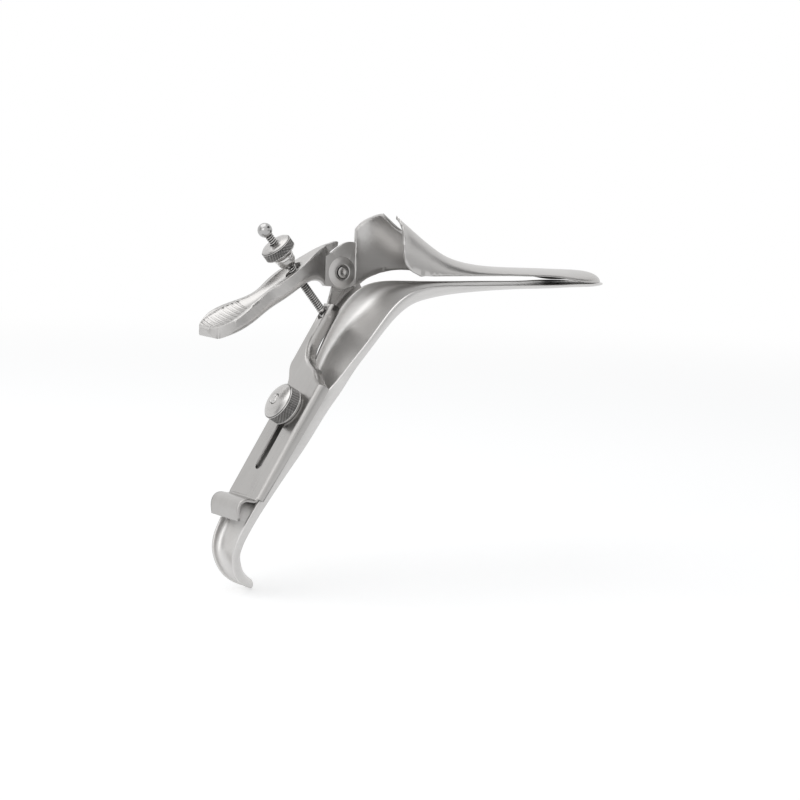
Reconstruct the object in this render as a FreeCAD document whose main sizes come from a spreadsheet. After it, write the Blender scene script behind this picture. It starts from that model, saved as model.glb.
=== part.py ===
"""Side-opening bivalve speculum, medium size, in surgical stainless steel.

Frame, in millimetres: +X runs forward along the blades, +Y to the side that carries the only arm,
+Z up. The origin is on the valve pivot's axis, in the middle plane of the blades. The handle runs down
and back from there: s is a distance down the handle from the pivot, m a distance out of the handle's
face towards the operator.
"""

import math
import os

import FreeCAD
import Part

DOC = FreeCAD.newDocument("speculum")
V = FreeCAD.Vector

# Driving dimensions

SIZES = {
    "sheet": 1.4,                 # formed sheet of both valves
    "yoke_sheet": 1.2,            # formed sheet of the sliding yoke
    "handle_angle": 58.2,         # slope of the handle below the blades, degrees
    "blade_half_width": 15.5,
    "blade_tip_x": 121.9,
    "lower_tip_lead": 1.6,        # the lower blade reaches this much further
    "lower_rim_z": -3.85,
    "lower_depth": 2.4,           # the lower blade's rim to its outer face
    "tip_gap": 0.6,              # between the two blades' rims at the tip
    "upper_edge_z": 0.0,
    "upper_crown_z": 2.6,
    "throat_half_width": 16.6,
    "trumpet_top_z": 25.6,
    "trumpet_near_half_width": 15.2,
    "rear_rim_x": 10.9,
    "crown_rim_x": 13.3,
    "notch_width": 10.0,
    "notch_end_x": 24.8,
    "notch_side_y": 5.5,
    "ear_radius": 7.3,
    "ear_gap": 0.2,               # running gap between the ears on the pivot
    "ear_inner_y": 17.0,
    "pivot_diameter": 4.0,
    "pivot_fit": 0.05,            # radial clearance of shafts in their bores
    "pivot_head_diameter": 6.4,
    "pivot_head_height": 1.1,
    "pivot_dimple": 1.5,
    "pivot_nut_diameter": 7.6,
    "pivot_nut_height": 2.0,
    "handle_half_width": 11.3,
    "handle_depth": 10.0,
    "handle_end_depth": 5.5,
    "rim_m": -2.4,                # the handle's rims
    "slide_gap": 0.3,             # between the yoke and the handle inside it
    "plate_face_m": -0.5,         # the yoke plate's outer face
    "yoke_top_s": 51.5,
    "yoke_end_s": 105.5,
    "yoke_flange_depth": 4.9,
    "yoke_bend_radius": 2.0,
    "arm_near_y": 12.9,
    "arm_top_s": 14.5,
    "yoke_ear_radius": 6.8,
    "slot_width": 5.2,
    "slot_top_s": 62.4,
    "slide_travel": 26.0,
    "hook_height": 5.2,
    "stud_diameter": 4.6,
    "stud_end_diameter": 4.2,
    "stud_head_diameter": 8.4,
    "stud_head_height": 1.2,
    "knob_diameter": 16.6,
    "knob_band": 5.8,
    "knob_dome": 2.2,
    "washer_diameter": 14.4,
    "washer_height": 0.9,
    "seat_play": 0.1,             # flat faces that bear on each other
    "lever_length": 67.0,
    "lever_root_x": -8.2,
    "lever_root_width": 3.4,
    "lever_half_width": 7.6,
    "lever_paddle_half_width": 10.8,
    "lever_middle_y": 16.0,
    "lever_depth": 6.8,
    "lever_rim": 2.2,
    "lever_dish": 2.4,
    "ridge_count": 10,
    "ridge_pitch": 1.9,
    "ridge_height": 0.45,
    "rod_slot_length": 8.6,
    "rod_slot_width": 4.7,
    "rod_pin_s": 20.0,
    "rod_pin_m": -2.6,
    "rod_lean": 129.9,            # the rod's slope from +X, degrees
    "rod_diameter": 3.7,
    "rod_length": 47.0,           # pin to ball centre
    "rod_eye_radius": 2.1,
    "rod_eye_width": 3.2,
    "rod_pin_diameter": 1.6,
    "ball_diameter": 6.2,
    "nut_diameter": 14.0,
    "nut_band": 3.9,
    "nut_chamfer": 1.5,
    "nut_place": 34.8,            # pin to the nut's lower face
    "collar_diameter": 8.8,
    "collar_height": 3.0,
    "saddle_diameter": 8.0,
    "saddle_height": 4.0,
}

sheet = DOC.addObject("Spreadsheet::Sheet", "Sizes")
for row, (alias, value) in enumerate(SIZES.items(), start=1):
    sheet.set("A%d" % row, alias)
    sheet.set("B%d" % row, "%g" % value)
    sheet.setAlias("B%d" % row, alias)
DOC.recompute()


def size(name):
    """The value of one driving dimension, read from the sheet."""
    return float(getattr(sheet, name))


def value(expression):
    """The number that an expression on the sheet's aliases gives."""
    result = sheet.evalExpression(expression)
    return float(result.Value if hasattr(result, "Value") else result)


# The handle's directions

ANGLE = math.radians(size("handle_angle"))
DOWN = V(-math.cos(ANGLE), 0, -math.sin(ANGLE))
FACE = V(-math.sin(ANGLE), 0, math.cos(ANGLE))
ACROSS = V(0, 1, 0)


def on_handle(s, y, m):
    """A point given by its place down, across and out of the handle."""
    return DOWN * s + ACROSS * y + FACE * m


def handle_solid(profile, start, depth):
    """A closed (s, y) outline on the plane m = start, carried depth towards the blades."""
    face = Part.Face(profile)
    return face.extrude(FACE * -depth)


def spline(points):
    """A smooth edge through points."""
    curve = Part.BSplineCurve()
    curve.interpolate(points)
    return curve.toShape()


def polygon(points):
    """A closed wire of straight edges."""
    return Part.makePolygon(list(points) + [points[0]])


def side_prism(edges, low_y, high_y):
    """A closed outline of edges in the plane y = 0, carried from low_y to high_y."""
    wire = Part.Wire(Part.__sortEdges__(edges))
    face = Part.Face(wire)
    face.translate(V(0, low_y, 0))
    return face.extrude(V(0, high_y - low_y, 0))


def flat(x, z):
    """A point of a side outline."""
    return V(x, 0, z)


def side_outline(smooth, corners):
    """Edges of a side outline: a smooth run, then straight edges through corners back to its start."""
    edges = [spline([flat(*p) for p in smooth])]
    chain = [smooth[-1]] + list(corners) + [smooth[0]]
    for a, b in zip(chain, chain[1:]):
        edges.append(Part.makeLine(flat(*a), flat(*b)))
    return edges


def interpolate(table, at):
    """Straight-line values of a table of (place, values...) rows."""
    for low, high in zip(table, table[1:]):
        if low[0] <= at <= high[0]:
            share = (at - low[0]) / (high[0] - low[0])
            return [a + (b - a) * share for a, b in zip(low[1:], high[1:])]
    return list(table[0][1:] if at < table[0][0] else table[-1][1:])


def place(obj, origin, axis):
    """Stands an object that was made along +Z at origin, along axis."""
    obj.Placement = FreeCAD.Placement(origin, FreeCAD.Rotation(V(0, 0, 1), axis))


# Makers of document objects

PIECES = []


def keep(obj, name):
    """Names a sub-part and lists it for writing."""
    obj.Label = name
    PIECES.append(obj)
    return obj


def shaped(name, shape):
    """A sub-part whose formed shape is worked out with Part's own functions."""
    obj = DOC.addObject("Part::Feature", name + "_form")
    obj.Shape = shape
    return keep(obj, name)


def origin_plane(body, role):
    """The body's own origin plane with that role."""
    for feature in body.Origin.OriginFeatures:
        if feature.Role == role:
            return feature
    raise ValueError(role)


def profile_sketch(body, name, corners):
    """A closed profile in the body's XZ plane.

    Each corner is a pair of expressions on the sheet, its distance from the axis and its height, and both
    are driven by the sheet.
    """
    sketch = body.newObject("Sketcher::SketchObject", name)
    sketch.AttachmentSupport = [(origin_plane(body, "XZ_Plane"), "")]
    sketch.MapMode = "FlatFace"
    rows = [[text.replace("$", "Sizes.") for text in corner] for corner in corners]
    points = [V(value(out), value(up), 0) for out, up in rows]
    import Sketcher
    for number, point in enumerate(points):
        follower = points[(number + 1) % len(points)]
        sketch.addGeometry(Part.LineSegment(point, follower), False)
    count = len(points)
    for number in range(count):
        sketch.addConstraint(Sketcher.Constraint("Coincident", number, 2, (number + 1) % count, 1))
    for number, (out, up) in enumerate(rows):
        for kind, text, number_now in (("DistanceX", out, points[number].x), ("DistanceY", up, points[number].y)):
            index = sketch.addConstraint(Sketcher.Constraint(kind, -1, 1, number, 1, number_now))
            sketch.setExpression("Constraints[%d]" % index, text)
    return sketch


def turned(name, corners):
    """A body turned about +Z from a profile of (radius, height) expressions."""
    body = DOC.addObject("PartDesign::Body", name + "_body")
    sketch = profile_sketch(body, name + "_profile", corners)
    turn = body.newObject("PartDesign::Revolution", name + "_turn")
    turn.Profile = sketch
    turn.ReferenceAxis = (sketch, ["V_Axis"])
    turn.Angle = 360.0
    sketch.Visibility = False
    DOC.recompute()
    return keep(body, name)


# Sections of the formed sheet

SECTION_STEPS = 14


def arch_curve(left, right, base, crown, power, lift=0.0):
    """Points of a half superellipse that stands on base from left to right and rises to crown.

    lift moves the base away from the crown at the right.
    """
    middle = (left + right) / 2
    reach = (right - left) / 2
    points = []
    for step in range(SECTION_STEPS + 1):
        turn = math.pi * step / SECTION_STEPS
        out = -math.copysign(abs(math.cos(turn)) ** (2 / power), math.cos(turn))
        up = abs(math.sin(turn)) ** (2 / power) if 0 < step < SECTION_STEPS else 0.0
        foot = base - math.copysign(lift, crown - base) * (out + 1) / 2
        points.append((middle + reach * out, foot + (crown - foot) * up))
    return points


def arch_wire(put, left, right, base, crown, power, wall, lift=0.0):
    """A closed section of sheet bent to an arch; put turns a (y, height) pair into a point."""
    outer = [put(*p) for p in arch_curve(left, right, base, crown, power, lift)]
    rise = math.copysign(wall, crown - base)
    inner = [put(*p) for p in arch_curve(left + wall, right - wall, base, crown - rise, power, lift)]
    edges = [
        spline(outer),
        Part.makeLine(outer[-1], inner[-1]),
        spline(list(reversed(inner))),
        Part.makeLine(inner[0], outer[0]),
    ]
    return Part.Wire(edges)


def loft(wires):
    """A closed solid through the sections."""
    solid = Part.makeLoft(wires, True, False)
    if solid.Volume < 0:
        solid.reverse()
    return solid


TIP_PLAN = [(-21.0, 1.0), (-14.0, 0.985), (-9.0, 0.90), (-5.0, 0.72), (-2.0, 0.47), (0.0, 0.20)]


def upper_valve():
    """The upper blade, its trumpet-shaped rear with a notched crown, and the arm to the pivot ear."""
    wall = size("sheet")
    half = size("blade_half_width")
    tip = size("blade_tip_x")
    edge = size("upper_edge_z")
    crown = size("upper_crown_z")
    top = size("trumpet_top_z")
    near = size("trumpet_near_half_width")
    far = size("ear_inner_y") + wall
    tip_edge = size("lower_rim_z") + size("tip_gap")
    # place, near half width, far half width, edge height, crown height, squareness
    rows = [
        (6.4, near, far, -7.2, top + 5.2, 5.0),
        (9.0, near, far, -6.0, top + 3.0, 3.6),
        (13.0, near, far, -3.6, top + 0.2, 2.7),
        (17.0, near, far - 0.2, -1.0, top - 2.9, 2.5),
        (20.5, near, far - 0.5, edge, top - 5.5, 2.4),
        (25.0, near + 0.1, far - 1.0, edge, crown + 14.1, 2.3),
        (30.0, near + 0.1, far - 1.6, edge, crown + 10.6, 2.2),
        (36.0, near + 0.2, far - 2.2, edge, crown + 6.9, 2.1),
        (42.0, half, far - 2.7, edge, crown + 4.4, 2.1),
        (48.0, half, half, edge, crown + 2.9, 2.0),
        (55.0, half, half, edge, crown + 1.7, 2.0),
        (64.0, half, half, edge, crown + 0.8, 2.0),
        (77.0, half, half, edge - 0.3, crown + 0.2, 2.0),
        (92.0, half, half, edge - 1.0, crown - 0.2, 2.0),
    ]
    drops = [0.5, 0.7, 1.0, 1.6, 2.8, 4.6]
    for (back, share), drop in zip(TIP_PLAN, drops):
        lift = max(0.0, -back - 14.0) * 0.12
        rows.append((tip + back, half * share, half * share, tip_edge + lift, crown - drop, 2.0))
    wires = []
    for x, near_y, far_y, base, high, power in rows:
        wires.append(arch_wire(lambda y, z, x=x: V(x, y, z), -near_y, far_y, base, high, power, wall))
    form = loft(wires)
    # The near rear rim sweeps up from the lower edge to the crown.
    rim = size("rear_rim_x")
    crown_rim = size("crown_rim_x")
    near_rim = [
        (rim + 9.5, -0.4), (rim + 6.9, 0.9), (rim + 3.4, 2.8), (rim + 1.7, 4.8), (rim + 0.6, 8.4),
        (rim + 0.6, 13.0), (rim + 1.5, 18.0), (rim + 2.0, 21.6), (crown_rim - 0.3, 24.2), (crown_rim, 26.0),
    ]
    split = size("notch_side_y") - size("notch_width")
    near_cut = side_prism(
        side_outline(near_rim, [(crown_rim, 60.0), (-20.0, 60.0), (-20.0, -20.0), (rim + 9.5, -20.0)]),
        -40.0, split + 0.01)
    # The far side keeps the arm, whose top edge climbs from the ear to the crown's rim.
    far_top = [
        (0.9, 12.4), (3.4, 13.0), (5.2, 16.2), (7.2, 19.6), (9.2, 22.2), (11.4, 24.2), (crown_rim, 26.0),
    ]
    far_cut = side_prism(
        side_outline(far_top, [(crown_rim, 60.0), (-20.0, 60.0), (-20.0, 12.4)]),
        split, 40.0)
    far_low = [(3.0, -7.0), (7.8, -5.9), (11.0, -3.6), (17.3, -0.9), (23.9, 0.7), (31.4, 1.0), (38.0, 0.2)]
    low_cut = side_prism(
        side_outline(far_low, [(38.0, -20.0), (-20.0, -20.0), (-20.0, -7.0)]), split, 40.0)
    # The notch in the crown's rear rim.
    side = size("notch_side_y")
    width = size("notch_width")
    end = size("notch_end_x")
    radius = width / 2
    notch = Part.makeBox(end - radius + 20.0, width, 60.0, V(-20.0, side - width, 8.0))
    notch = notch.fuse(Part.makeCylinder(radius, 60.0, V(end - radius, side - radius, 8.0)))
    form = form.cut(near_cut).cut(far_cut).cut(low_cut).cut(notch)
    # The flat ear round the pivot, and the neck that joins it to the formed wall.
    ear_y = size("ear_inner_y")
    radius = size("ear_radius")
    ear = Part.makeCylinder(radius, wall, V(0, ear_y, 0), ACROSS)
    root_x = size("lever_root_x")
    neck = side_prism(
        side_outline(
            [(root_x, 7.0), (-3.4, 9.6), (-0.6, 11.6), (0.9, 12.4), (3.4, 13.0), (5.6, 12.9)],
            [(7.5, 12.0), (7.5, -5.6), (3.0, -6.6), (root_x, -5.8)]),
        ear_y, ear_y + wall)
    form = form.fuse([ear, neck]).removeSplitter()
    bore = Part.makeCylinder(size("pivot_diameter") / 2 + size("pivot_fit"), 3 * wall, V(0, ear_y - wall, 0), ACROSS)
    form = form.cut(bore)
    return shaped("upper_valve", largest(form))


def largest(shape):
    """The biggest solid of a shape, so that no sliver of a cut is left."""
    return max(shape.Solids, key=lambda solid: solid.Volume)


def lower_valve():
    """The lower blade, its throat, the channelled handle and the tail that curls forward."""
    wall = size("sheet")
    half = size("blade_half_width")
    throat = size("throat_half_width")
    rim = size("lower_rim_z")
    depth = size("lower_depth")
    tip = size("blade_tip_x") + size("lower_tip_lead")
    handle = size("handle_half_width")
    wires = []

    def station(at, outward, half_width, deep, power, lift=0.0):
        """One section: rim middle at (x, z), depth along outward."""
        origin = V(at[0], 0, at[1])

        def put(y, out):
            return origin + ACROSS * y + outward * out

        wires.append(arch_wire(put, -half_width, half_width, 0.0, deep, power, wall, lift))

    below = V(0, 0, -1)
    thin = wall + 0.25
    for (back, share), deep in zip(reversed(TIP_PLAN), [thin, thin + 0.1, 1.9, 2.2, depth - 0.1, depth]):
        station((tip + back, rim + 0.35 * share), below, half * share, deep, 2.0)
    for x, deep in ((92.0, depth), (70.0, depth + 0.4), (53.0, depth + 1.3)):
        station((x, rim), below, half, deep, 2.0)
    # near rim x, near rim z, slope of the section's depth below +X in degrees, half width, depth,
    # squareness, rise of the far rim
    throat_rows = [
        (38.0, rim, 88.0, half + 0.1, depth + 2.6, 2.1, 0.1),
        (28.0, rim - 0.1, 82.0, half + 0.4, depth + 4.1, 2.2, 0.4),
        (19.5, rim - 1.0, 72.0, half + 0.8, depth + 5.0, 2.4, 1.3),
        (12.0, rim - 3.6, 58.0, throat, depth + 5.4, 2.6, 2.6),
        (5.4, rim - 8.6, 48.0, throat, depth + 5.0, 2.8, 3.2),
        (-0.8, rim - 15.8, 41.0, throat, depth + 3.8, 3.0, 2.8),
        (-7.6, rim - 24.4, 37.0, throat - 0.6, depth + 3.2, 3.4, 1.4),
        (-14.6, rim - 33.2, 34.5, throat - 2.4, depth + 3.2, 3.8, 0.0),
    ]
    for x, z, slope, half_width, deep, power, lift in throat_rows:
        turn = math.radians(slope)
        station((x, z), V(math.cos(turn), 0, -math.sin(turn)), half_width, deep, power, lift)
    # The handle's rims come up under the yoke's plate and stay there down to the tail.
    plate_back = size("rim_m")
    deep_top = size("handle_depth")
    deep_end = size("handle_end_depth")
    top_s = size("yoke_top_s")
    end_s = size("yoke_end_s")
    rows = [
        (top_s - 2.5, plate_back - 4.6, handle + 0.2, deep_top - 3.4),
        (top_s + 5.0, plate_back - 2.0, handle, deep_top - 1.7),
        (top_s + 13.0, plate_back, handle, deep_top),
        (top_s + 24.0, plate_back, handle, deep_top - 0.6),
        (top_s + 38.0, plate_back, handle, deep_end + 2.1),
        (end_s - 2.0, plate_back, handle, deep_end + 0.5),
        (end_s + 3.0, plate_back, handle, deep_end),
    ]
    for s, m, half_width, deep in rows:
        station((on_handle(s, 0, m).x, on_handle(s, 0, m).z), FACE * -1, half_width, deep, 4.4)
    # The tail: the channel narrows to a tongue that curls forward under the handle.
    curl = [
        (-60.6, -102.6, handle - 0.4, deep_end + 0.1, 3.6),
        (-63.2, -108.4, handle - 0.9, deep_end + 0.1, 3.2),
        (-64.1, -113.8, handle - 1.7, deep_end + 0.1, 2.8),
        (-63.0, -119.6, handle - 3.1, deep_end + 0.6, 2.5),
        (-59.8, -124.8, handle - 4.7, deep_end + 0.3, 2.2),
        (-55.0, -128.0, handle - 6.6, deep_end - 0.9, 2.0),
        (-50.8, -129.4, handle - 8.9, deep_end - 2.2, 2.0),
    ]
    for number, (x, z, half_width, deep, power) in enumerate(curl):
        before = curl[max(number - 1, 0)]
        after = curl[min(number + 1, len(curl) - 1)]
        along = V(after[0] - before[0], 0, after[1] - before[1]).normalize()
        station((x, z), V(-along.z, 0, along.x), half_width, deep, power)
    form = loft(wires)
    # The stud's hole through the handle.
    stud_s = size("slot_top_s") + size("slot_width") / 2
    hole = Part.makeCylinder(
        size("stud_diameter") / 2, 20.0, on_handle(stud_s, 0, plate_back + 2.0), FACE * -1)
    form = form.cut(hole)
    return shaped("lower_valve", largest(form))


def yoke_tray(inset, top_m, depth, round_radius):
    """The yoke's plan, drawn in by inset, carried from the face at top_m towards the blades."""
    half = size("handle_half_width") + size("slide_gap") + size("yoke_sheet")
    arm_far = size("ear_inner_y") + size("sheet") + size("ear_gap") + size("yoke_sheet")
    arm_near = size("arm_near_y")
    top = size("yoke_top_s")
    arm_top = size("arm_top_s")
    end = size("yoke_end_s") + (20.0 if inset else 0.0)

    def at(s, y):
        return on_handle(s, y, top_m)

    k = inset
    near = [at(end, -half + k), at(top + k, -half + k)]
    shoulder = [
        at(top + k, -half + k), at(top - 3.0 + k, -half + 6.4 + 0.6 * k), at(top - 6.2 + k, -1.6 + 0.7 * k),
        at(top - 10.2 + 0.8 * k, 7.6 + 0.9 * k), at(top - 15.0, arm_near - 1.2 + k), at(top - 20.0, arm_near + k),
    ]
    arm_end = [at(top - 20.0, arm_near + k), at(arm_top + k, arm_near + k)]
    cap = [at(arm_top + k, arm_near + k), at(arm_top + k, arm_far - k)]
    far = [at(arm_top + k, arm_far - k), at(top - 9.0, arm_far - k)]
    flare = [
        at(top - 9.0, arm_far - k), at(top - 4.0, arm_far - 1.0 - k), at(top + 1.0, half + 2.0 - k),
        at(top + 5.0, half + 0.3 - k), at(top + 9.0, half - k),
    ]
    far_end = [at(top + 9.0, half - k), at(end, half - k)]
    close = [at(end, half - k), at(end, -half + k)]
    edges = []
    for run in (near, shoulder, arm_end, cap, far, flare, far_end, close):
        if len(run) > 2:
            edges.append(spline(run))
        else:
            edges.append(Part.makeLine(run[0], run[1]))
    solid = Part.Face(Part.Wire(edges)).extrude(FACE * -depth)
    if round_radius:
        rounded = []
        for edge in solid.Edges:
            middle = edge.valueAt((edge.FirstParameter + edge.LastParameter) / 2)
            on_face = abs(middle.dot(FACE) - top_m) < 0.01
            at_end = abs(middle.dot(DOWN) - end) < 0.01
            if on_face and not at_end:
                rounded.append(edge)
        solid = solid.makeFillet(round_radius, rounded)
    return solid


def yoke():
    """The sliding yoke: slotted plate, flanges, narrow arm with its ear, and the finger hook."""
    wall = size("yoke_sheet")
    face_m = size("plate_face_m")
    depth = size("yoke_flange_depth")
    bend = size("yoke_bend_radius")
    outer = yoke_tray(0.0, face_m, depth, bend)
    inner = yoke_tray(wall, face_m - wall, depth + 5.0, bend - wall)
    form = outer.cut(inner)
    # The flanges grow shallower towards the hook.
    trim = Part.Face(polygon([
        on_handle(60.0, -30.0, face_m - depth), on_handle(size("yoke_end_s") + 1.0, -30.0, face_m - 3.3),
        on_handle(size("yoke_end_s") + 1.0, -30.0, face_m - depth - 9.0),
        on_handle(60.0, -30.0, face_m - depth - 9.0),
    ])).extrude(ACROSS * 60.0)
    form = form.cut(trim)
    # The ear: a disc round the pivot with a neck down to the arm's far flange.
    ear_y = size("ear_inner_y") + size("sheet") + size("ear_gap")
    radius = size("yoke_ear_radius")
    disc = Part.makeCylinder(radius, wall, V(0, ear_y, 0), ACROSS)
    arm_top = size("arm_top_s")
    base = face_m - bend
    corners = [
        on_handle(0.0, 0, 3.4), on_handle(7.0, 0, -0.2), on_handle(arm_top + 0.5, 0, base),
        on_handle(arm_top + 6.0, 0, base), on_handle(arm_top + 20.0, 0, face_m - depth),
        V(0.0, 0, -23.5), V(6.5, 0, -17.0), V(10.2, 0, -11.5), V(10.8, 0, -6.5), V(6.0, 0, 2.0),
    ]
    neck = Part.Face(polygon([V(p.x, ear_y, p.z) for p in corners])).extrude(ACROSS * wall)
    form = form.fuse([disc, neck])
    # The finger hook: one sheet that leaves the plate, humps outwards and ends in a small flare.
    half = size("handle_half_width") + size("slide_gap") + wall
    end = size("yoke_end_s")
    hump = size("hook_height")
    middle = face_m - wall / 2
    path = [
        (end - 0.3, middle), (end + 1.2, middle + 0.2), (end + 2.1, middle + 1.8), (end + 3.1, middle + 4.2),
        (end + 5.4, middle + hump + 0.5), (end + 8.2, middle + hump), (end + 10.2, middle + 3.9),
        (end + 11.8, middle + 2.6),
    ]
    strip = ribbon(path, wall, -half + 0.6, half - 1.8)
    form = form.fuse(strip)
    # Slots, bores and the rod's window.
    slot_width = size("slot_width")
    top_s = size("slot_top_s")
    travel = size("slide_travel")
    form = form.cut(slot_tool(top_s, top_s + travel + slot_width, 0.0, slot_width))
    rod_y = size("lever_middle_y")
    pin_s = size("rod_pin_s")
    form = form.cut(slot_tool(pin_s - 3.6, pin_s + 3.0, rod_y, size("rod_eye_width") + 0.9))
    bore = Part.makeCylinder(size("pivot_diameter") / 2 + size("pivot_fit"), 10.0, V(0, ear_y - 4.0, 0), ACROSS)
    pin = on_handle(pin_s, 0, size("rod_pin_m"))
    pin_hole = Part.makeCylinder(size("rod_pin_diameter") / 2, 12.0, V(pin.x, size("arm_near_y") - 2.0, pin.z), ACROSS)
    form = form.cut(bore).cut(pin_hole)
    return shaped("yoke", largest(form.removeSplitter()))


def slot_tool(top, end, y, width):
    """A round-ended cutter across the yoke's plate from top to end."""
    radius = width / 2
    thick = size("yoke_sheet") + 1.6
    start = size("plate_face_m") + 0.8
    body = Part.Face(polygon([
        on_handle(top + radius, y - radius, start), on_handle(end - radius, y - radius, start),
        on_handle(end - radius, y + radius, start), on_handle(top + radius, y + radius, start),
    ])).extrude(FACE * -thick)
    caps = [
        Part.makeCylinder(radius, thick, on_handle(s, y, start), FACE * -1)
        for s in (top + radius, end - radius)
    ]
    return body.fuse(caps)


def ribbon(path, wall, low_y, high_y):
    """Sheet of even thickness that follows a smooth (s, m) path, from low_y to high_y."""
    curve = Part.BSplineCurve()
    curve.interpolate([on_handle(s, low_y, m) for s, m in path])
    count = 24
    first, last = curve.FirstParameter, curve.LastParameter
    left, right = [], []
    for step in range(count + 1):
        at = first + (last - first) * step / count
        point = curve.value(at)
        along = curve.tangent(at)[0]
        out = along.cross(ACROSS)
        left.append(point + out * (wall / 2))
        right.append(point - out * (wall / 2))
    edges = [
        spline(left), Part.makeLine(left[-1], right[-1]),
        spline(list(reversed(right))), Part.makeLine(right[0], left[0]),
    ]
    return Part.Face(Part.Wire(edges)).extrude(ACROSS * (high_y - low_y))


def thumb_lever():
    """The thumb lever: a dished, ribbed thumb rest that narrows into a boss on the ear."""
    middle = size("lever_middle_y")
    half = size("lever_half_width")
    depth = size("lever_depth")
    ear_y = size("ear_inner_y")
    # top x, top z, slope of the top in degrees, near y, far y, depth, rise of the far side
    reach = size("lever_length")
    paddle = size("lever_paddle_half_width")
    root_x = size("lever_root_x")
    root_far = ear_y + size("lever_root_width")
    rows = [
        (-reach - 2.5, -23.8, 9.0, middle - paddle, middle + paddle, depth - 2.6, 0.8),
        (-reach + 6.0, -20.7, 24.0, middle - paddle, middle + paddle, depth - 1.6, 1.8),
        (-54.0, -17.0, 30.0, middle - paddle + 0.4, middle + paddle - 0.4, depth - 0.5, 2.2),
        (-47.0, -12.4, 33.0, middle - half - 0.8, middle + half + 0.8, depth + 0.2, 0.6),
        (-39.0, -6.9, 33.0, middle - half + 1.0, middle + half - 1.0, depth + 0.8, -0.9),
        (-30.0, -1.1, 31.0, middle - half, middle + half, depth + 1.0, 0.0),
        (-21.0, 4.6, 27.0, middle - half + 2.4, middle + half - 1.4, depth + 2.6, 0.0),
        (-14.2, 8.5, 16.0, middle - half + 6.2, middle + half - 2.4, depth + 6.2, 0.0),
        (root_x, 11.4, 0.0, ear_y, root_far, 17.2, 0.0),
    ]
    wires = []
    for x, z, slope, near, far, deep, rise in rows:
        turn = math.radians(slope)
        down = V(math.sin(turn), 0, -math.cos(turn))
        wires.append(lever_section(V(x, 0, z), down, near, far, deep, rise))
    form = loft(wires)
    # The thumb end is rounded in plan.
    end = -reach
    outline = [
        V(end + paddle, middle - paddle, -60.0), V(20.0, middle - paddle, -60.0),
        V(20.0, middle + paddle, -60.0), V(end + paddle, middle + paddle, -60.0),
    ]
    plan = Part.Face(polygon(outline)).extrude(V(0, 0, 120.0))
    plan = plan.fuse(Part.makeCylinder(paddle, 120.0, V(end + paddle, middle, -60.0)))
    form = form.common(plan)
    # Its lower end edge is rounded too.
    nose = [
        (end, -20.6), (end + 0.4, -23.2), (end + 1.8, -25.6), (end + 4.2, -27.0), (end + 8.5, -27.4),
    ]
    form = form.common(side_prism(
        side_outline(nose, [(20.0, -27.4), (20.0, 40.0), (-90.0, 40.0), (-90.0, -20.6)]), -20.0, 60.0))
    # Its upper rim runs on behind the upper valve's ear.
    ear_far = ear_y + size("sheet")
    rim = [
        (root_x, 4.8), (root_x, 11.4), (-5.0, 12.4), (-2.4, 13.2), (-1.4, 12.9), (-1.6, 11.2), (-5.0, 9.0),
    ]
    strip = Part.Face(polygon([V(x, ear_far, z) for x, z in rim])).extrude(ACROSS * (root_far - ear_far))
    form = form.fuse(strip)
    ridge = size("ridge_height")
    form = form.cut(lever_dish(-ridge)).cut(lever_dish(0.0).cut(ridge_plates()))
    # The slot for the rod.
    slot = rod_slot()
    form = form.cut(slot)
    return shaped("thumb_lever", largest(form))


def lever_section(origin, down, near, far, deep, rise):
    """A closed section of the lever: flat top that rises to the far side, sides that round under."""
    width = far - near
    round_share = min(0.42 * width, 0.5 * deep)
    points = [
        (near, 0.0), (near - 0.0, deep - round_share), (near + round_share * 0.3, deep - round_share * 0.3),
        (near + round_share, deep), (far - round_share, deep),
        (far - round_share * 0.3, deep - round_share * 0.3), (far, deep - round_share), (far, 0.0),
    ]

    def put(pair):
        return origin + ACROSS * pair[0] + down * (pair[1] - rise * (pair[0] - near) / width)

    p = [put(pair) for pair in points]
    edges = [
        Part.makeLine(p[0], p[1]), Part.Arc(p[1], p[2], p[3]).toShape(), Part.makeLine(p[3], p[4]),
        Part.Arc(p[4], p[5], p[6]).toShape(), Part.makeLine(p[6], p[7]), Part.makeLine(p[7], p[0]),
    ]
    return Part.Wire(edges)


# The thumb rest's floor: x, z of the top, its slope in degrees, half width, share of the full depth,
# rise of the far side
DISH_LINE = [
    (-65.2, -22.4, 16.0, 5.4, 0.45, 1.0), (-60.0, -20.2, 24.0, 8.6, 1.0, 1.5), (-54.0, -17.0, 30.0, 8.2, 1.0, 1.8),
    (-47.0, -12.4, 33.0, 6.2, 1.0, 0.5), (-39.0, -6.9, 33.0, 4.4, 1.0, -0.6), (-30.0, -1.1, 31.0, 5.3, 1.0, 0.0),
    (-22.5, 3.6, 28.0, 3.4, 0.5, 0.0),
]


def lever_dish(extra):
    """The cutter that dishes the lever's top between its rims, extra deeper than the floor."""
    middle = size("lever_middle_y")
    wires = []
    for x, z, slope, reach, share, rise in DISH_LINE:
        deep = size("lever_dish") * share + extra
        turn = math.radians(slope)
        down = V(math.sin(turn), 0, -math.cos(turn))
        origin = V(x, middle, z) - down * (4.0 + rise / 2)
        side = ACROSS * reach - down * (rise / 2)
        a = origin - side
        b = origin + side
        c = b + down * (4.0 + 0.1 * deep)
        d = a + down * (4.0 + 0.1 * deep)
        low = origin + down * (4.0 + deep)
        edges = [
            Part.makeLine(a, b), Part.makeLine(b, c), Part.Arc(c, low, d).toShape(), Part.makeLine(d, a),
        ]
        wires.append(Part.Wire(edges))
    return loft(wires)


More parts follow.
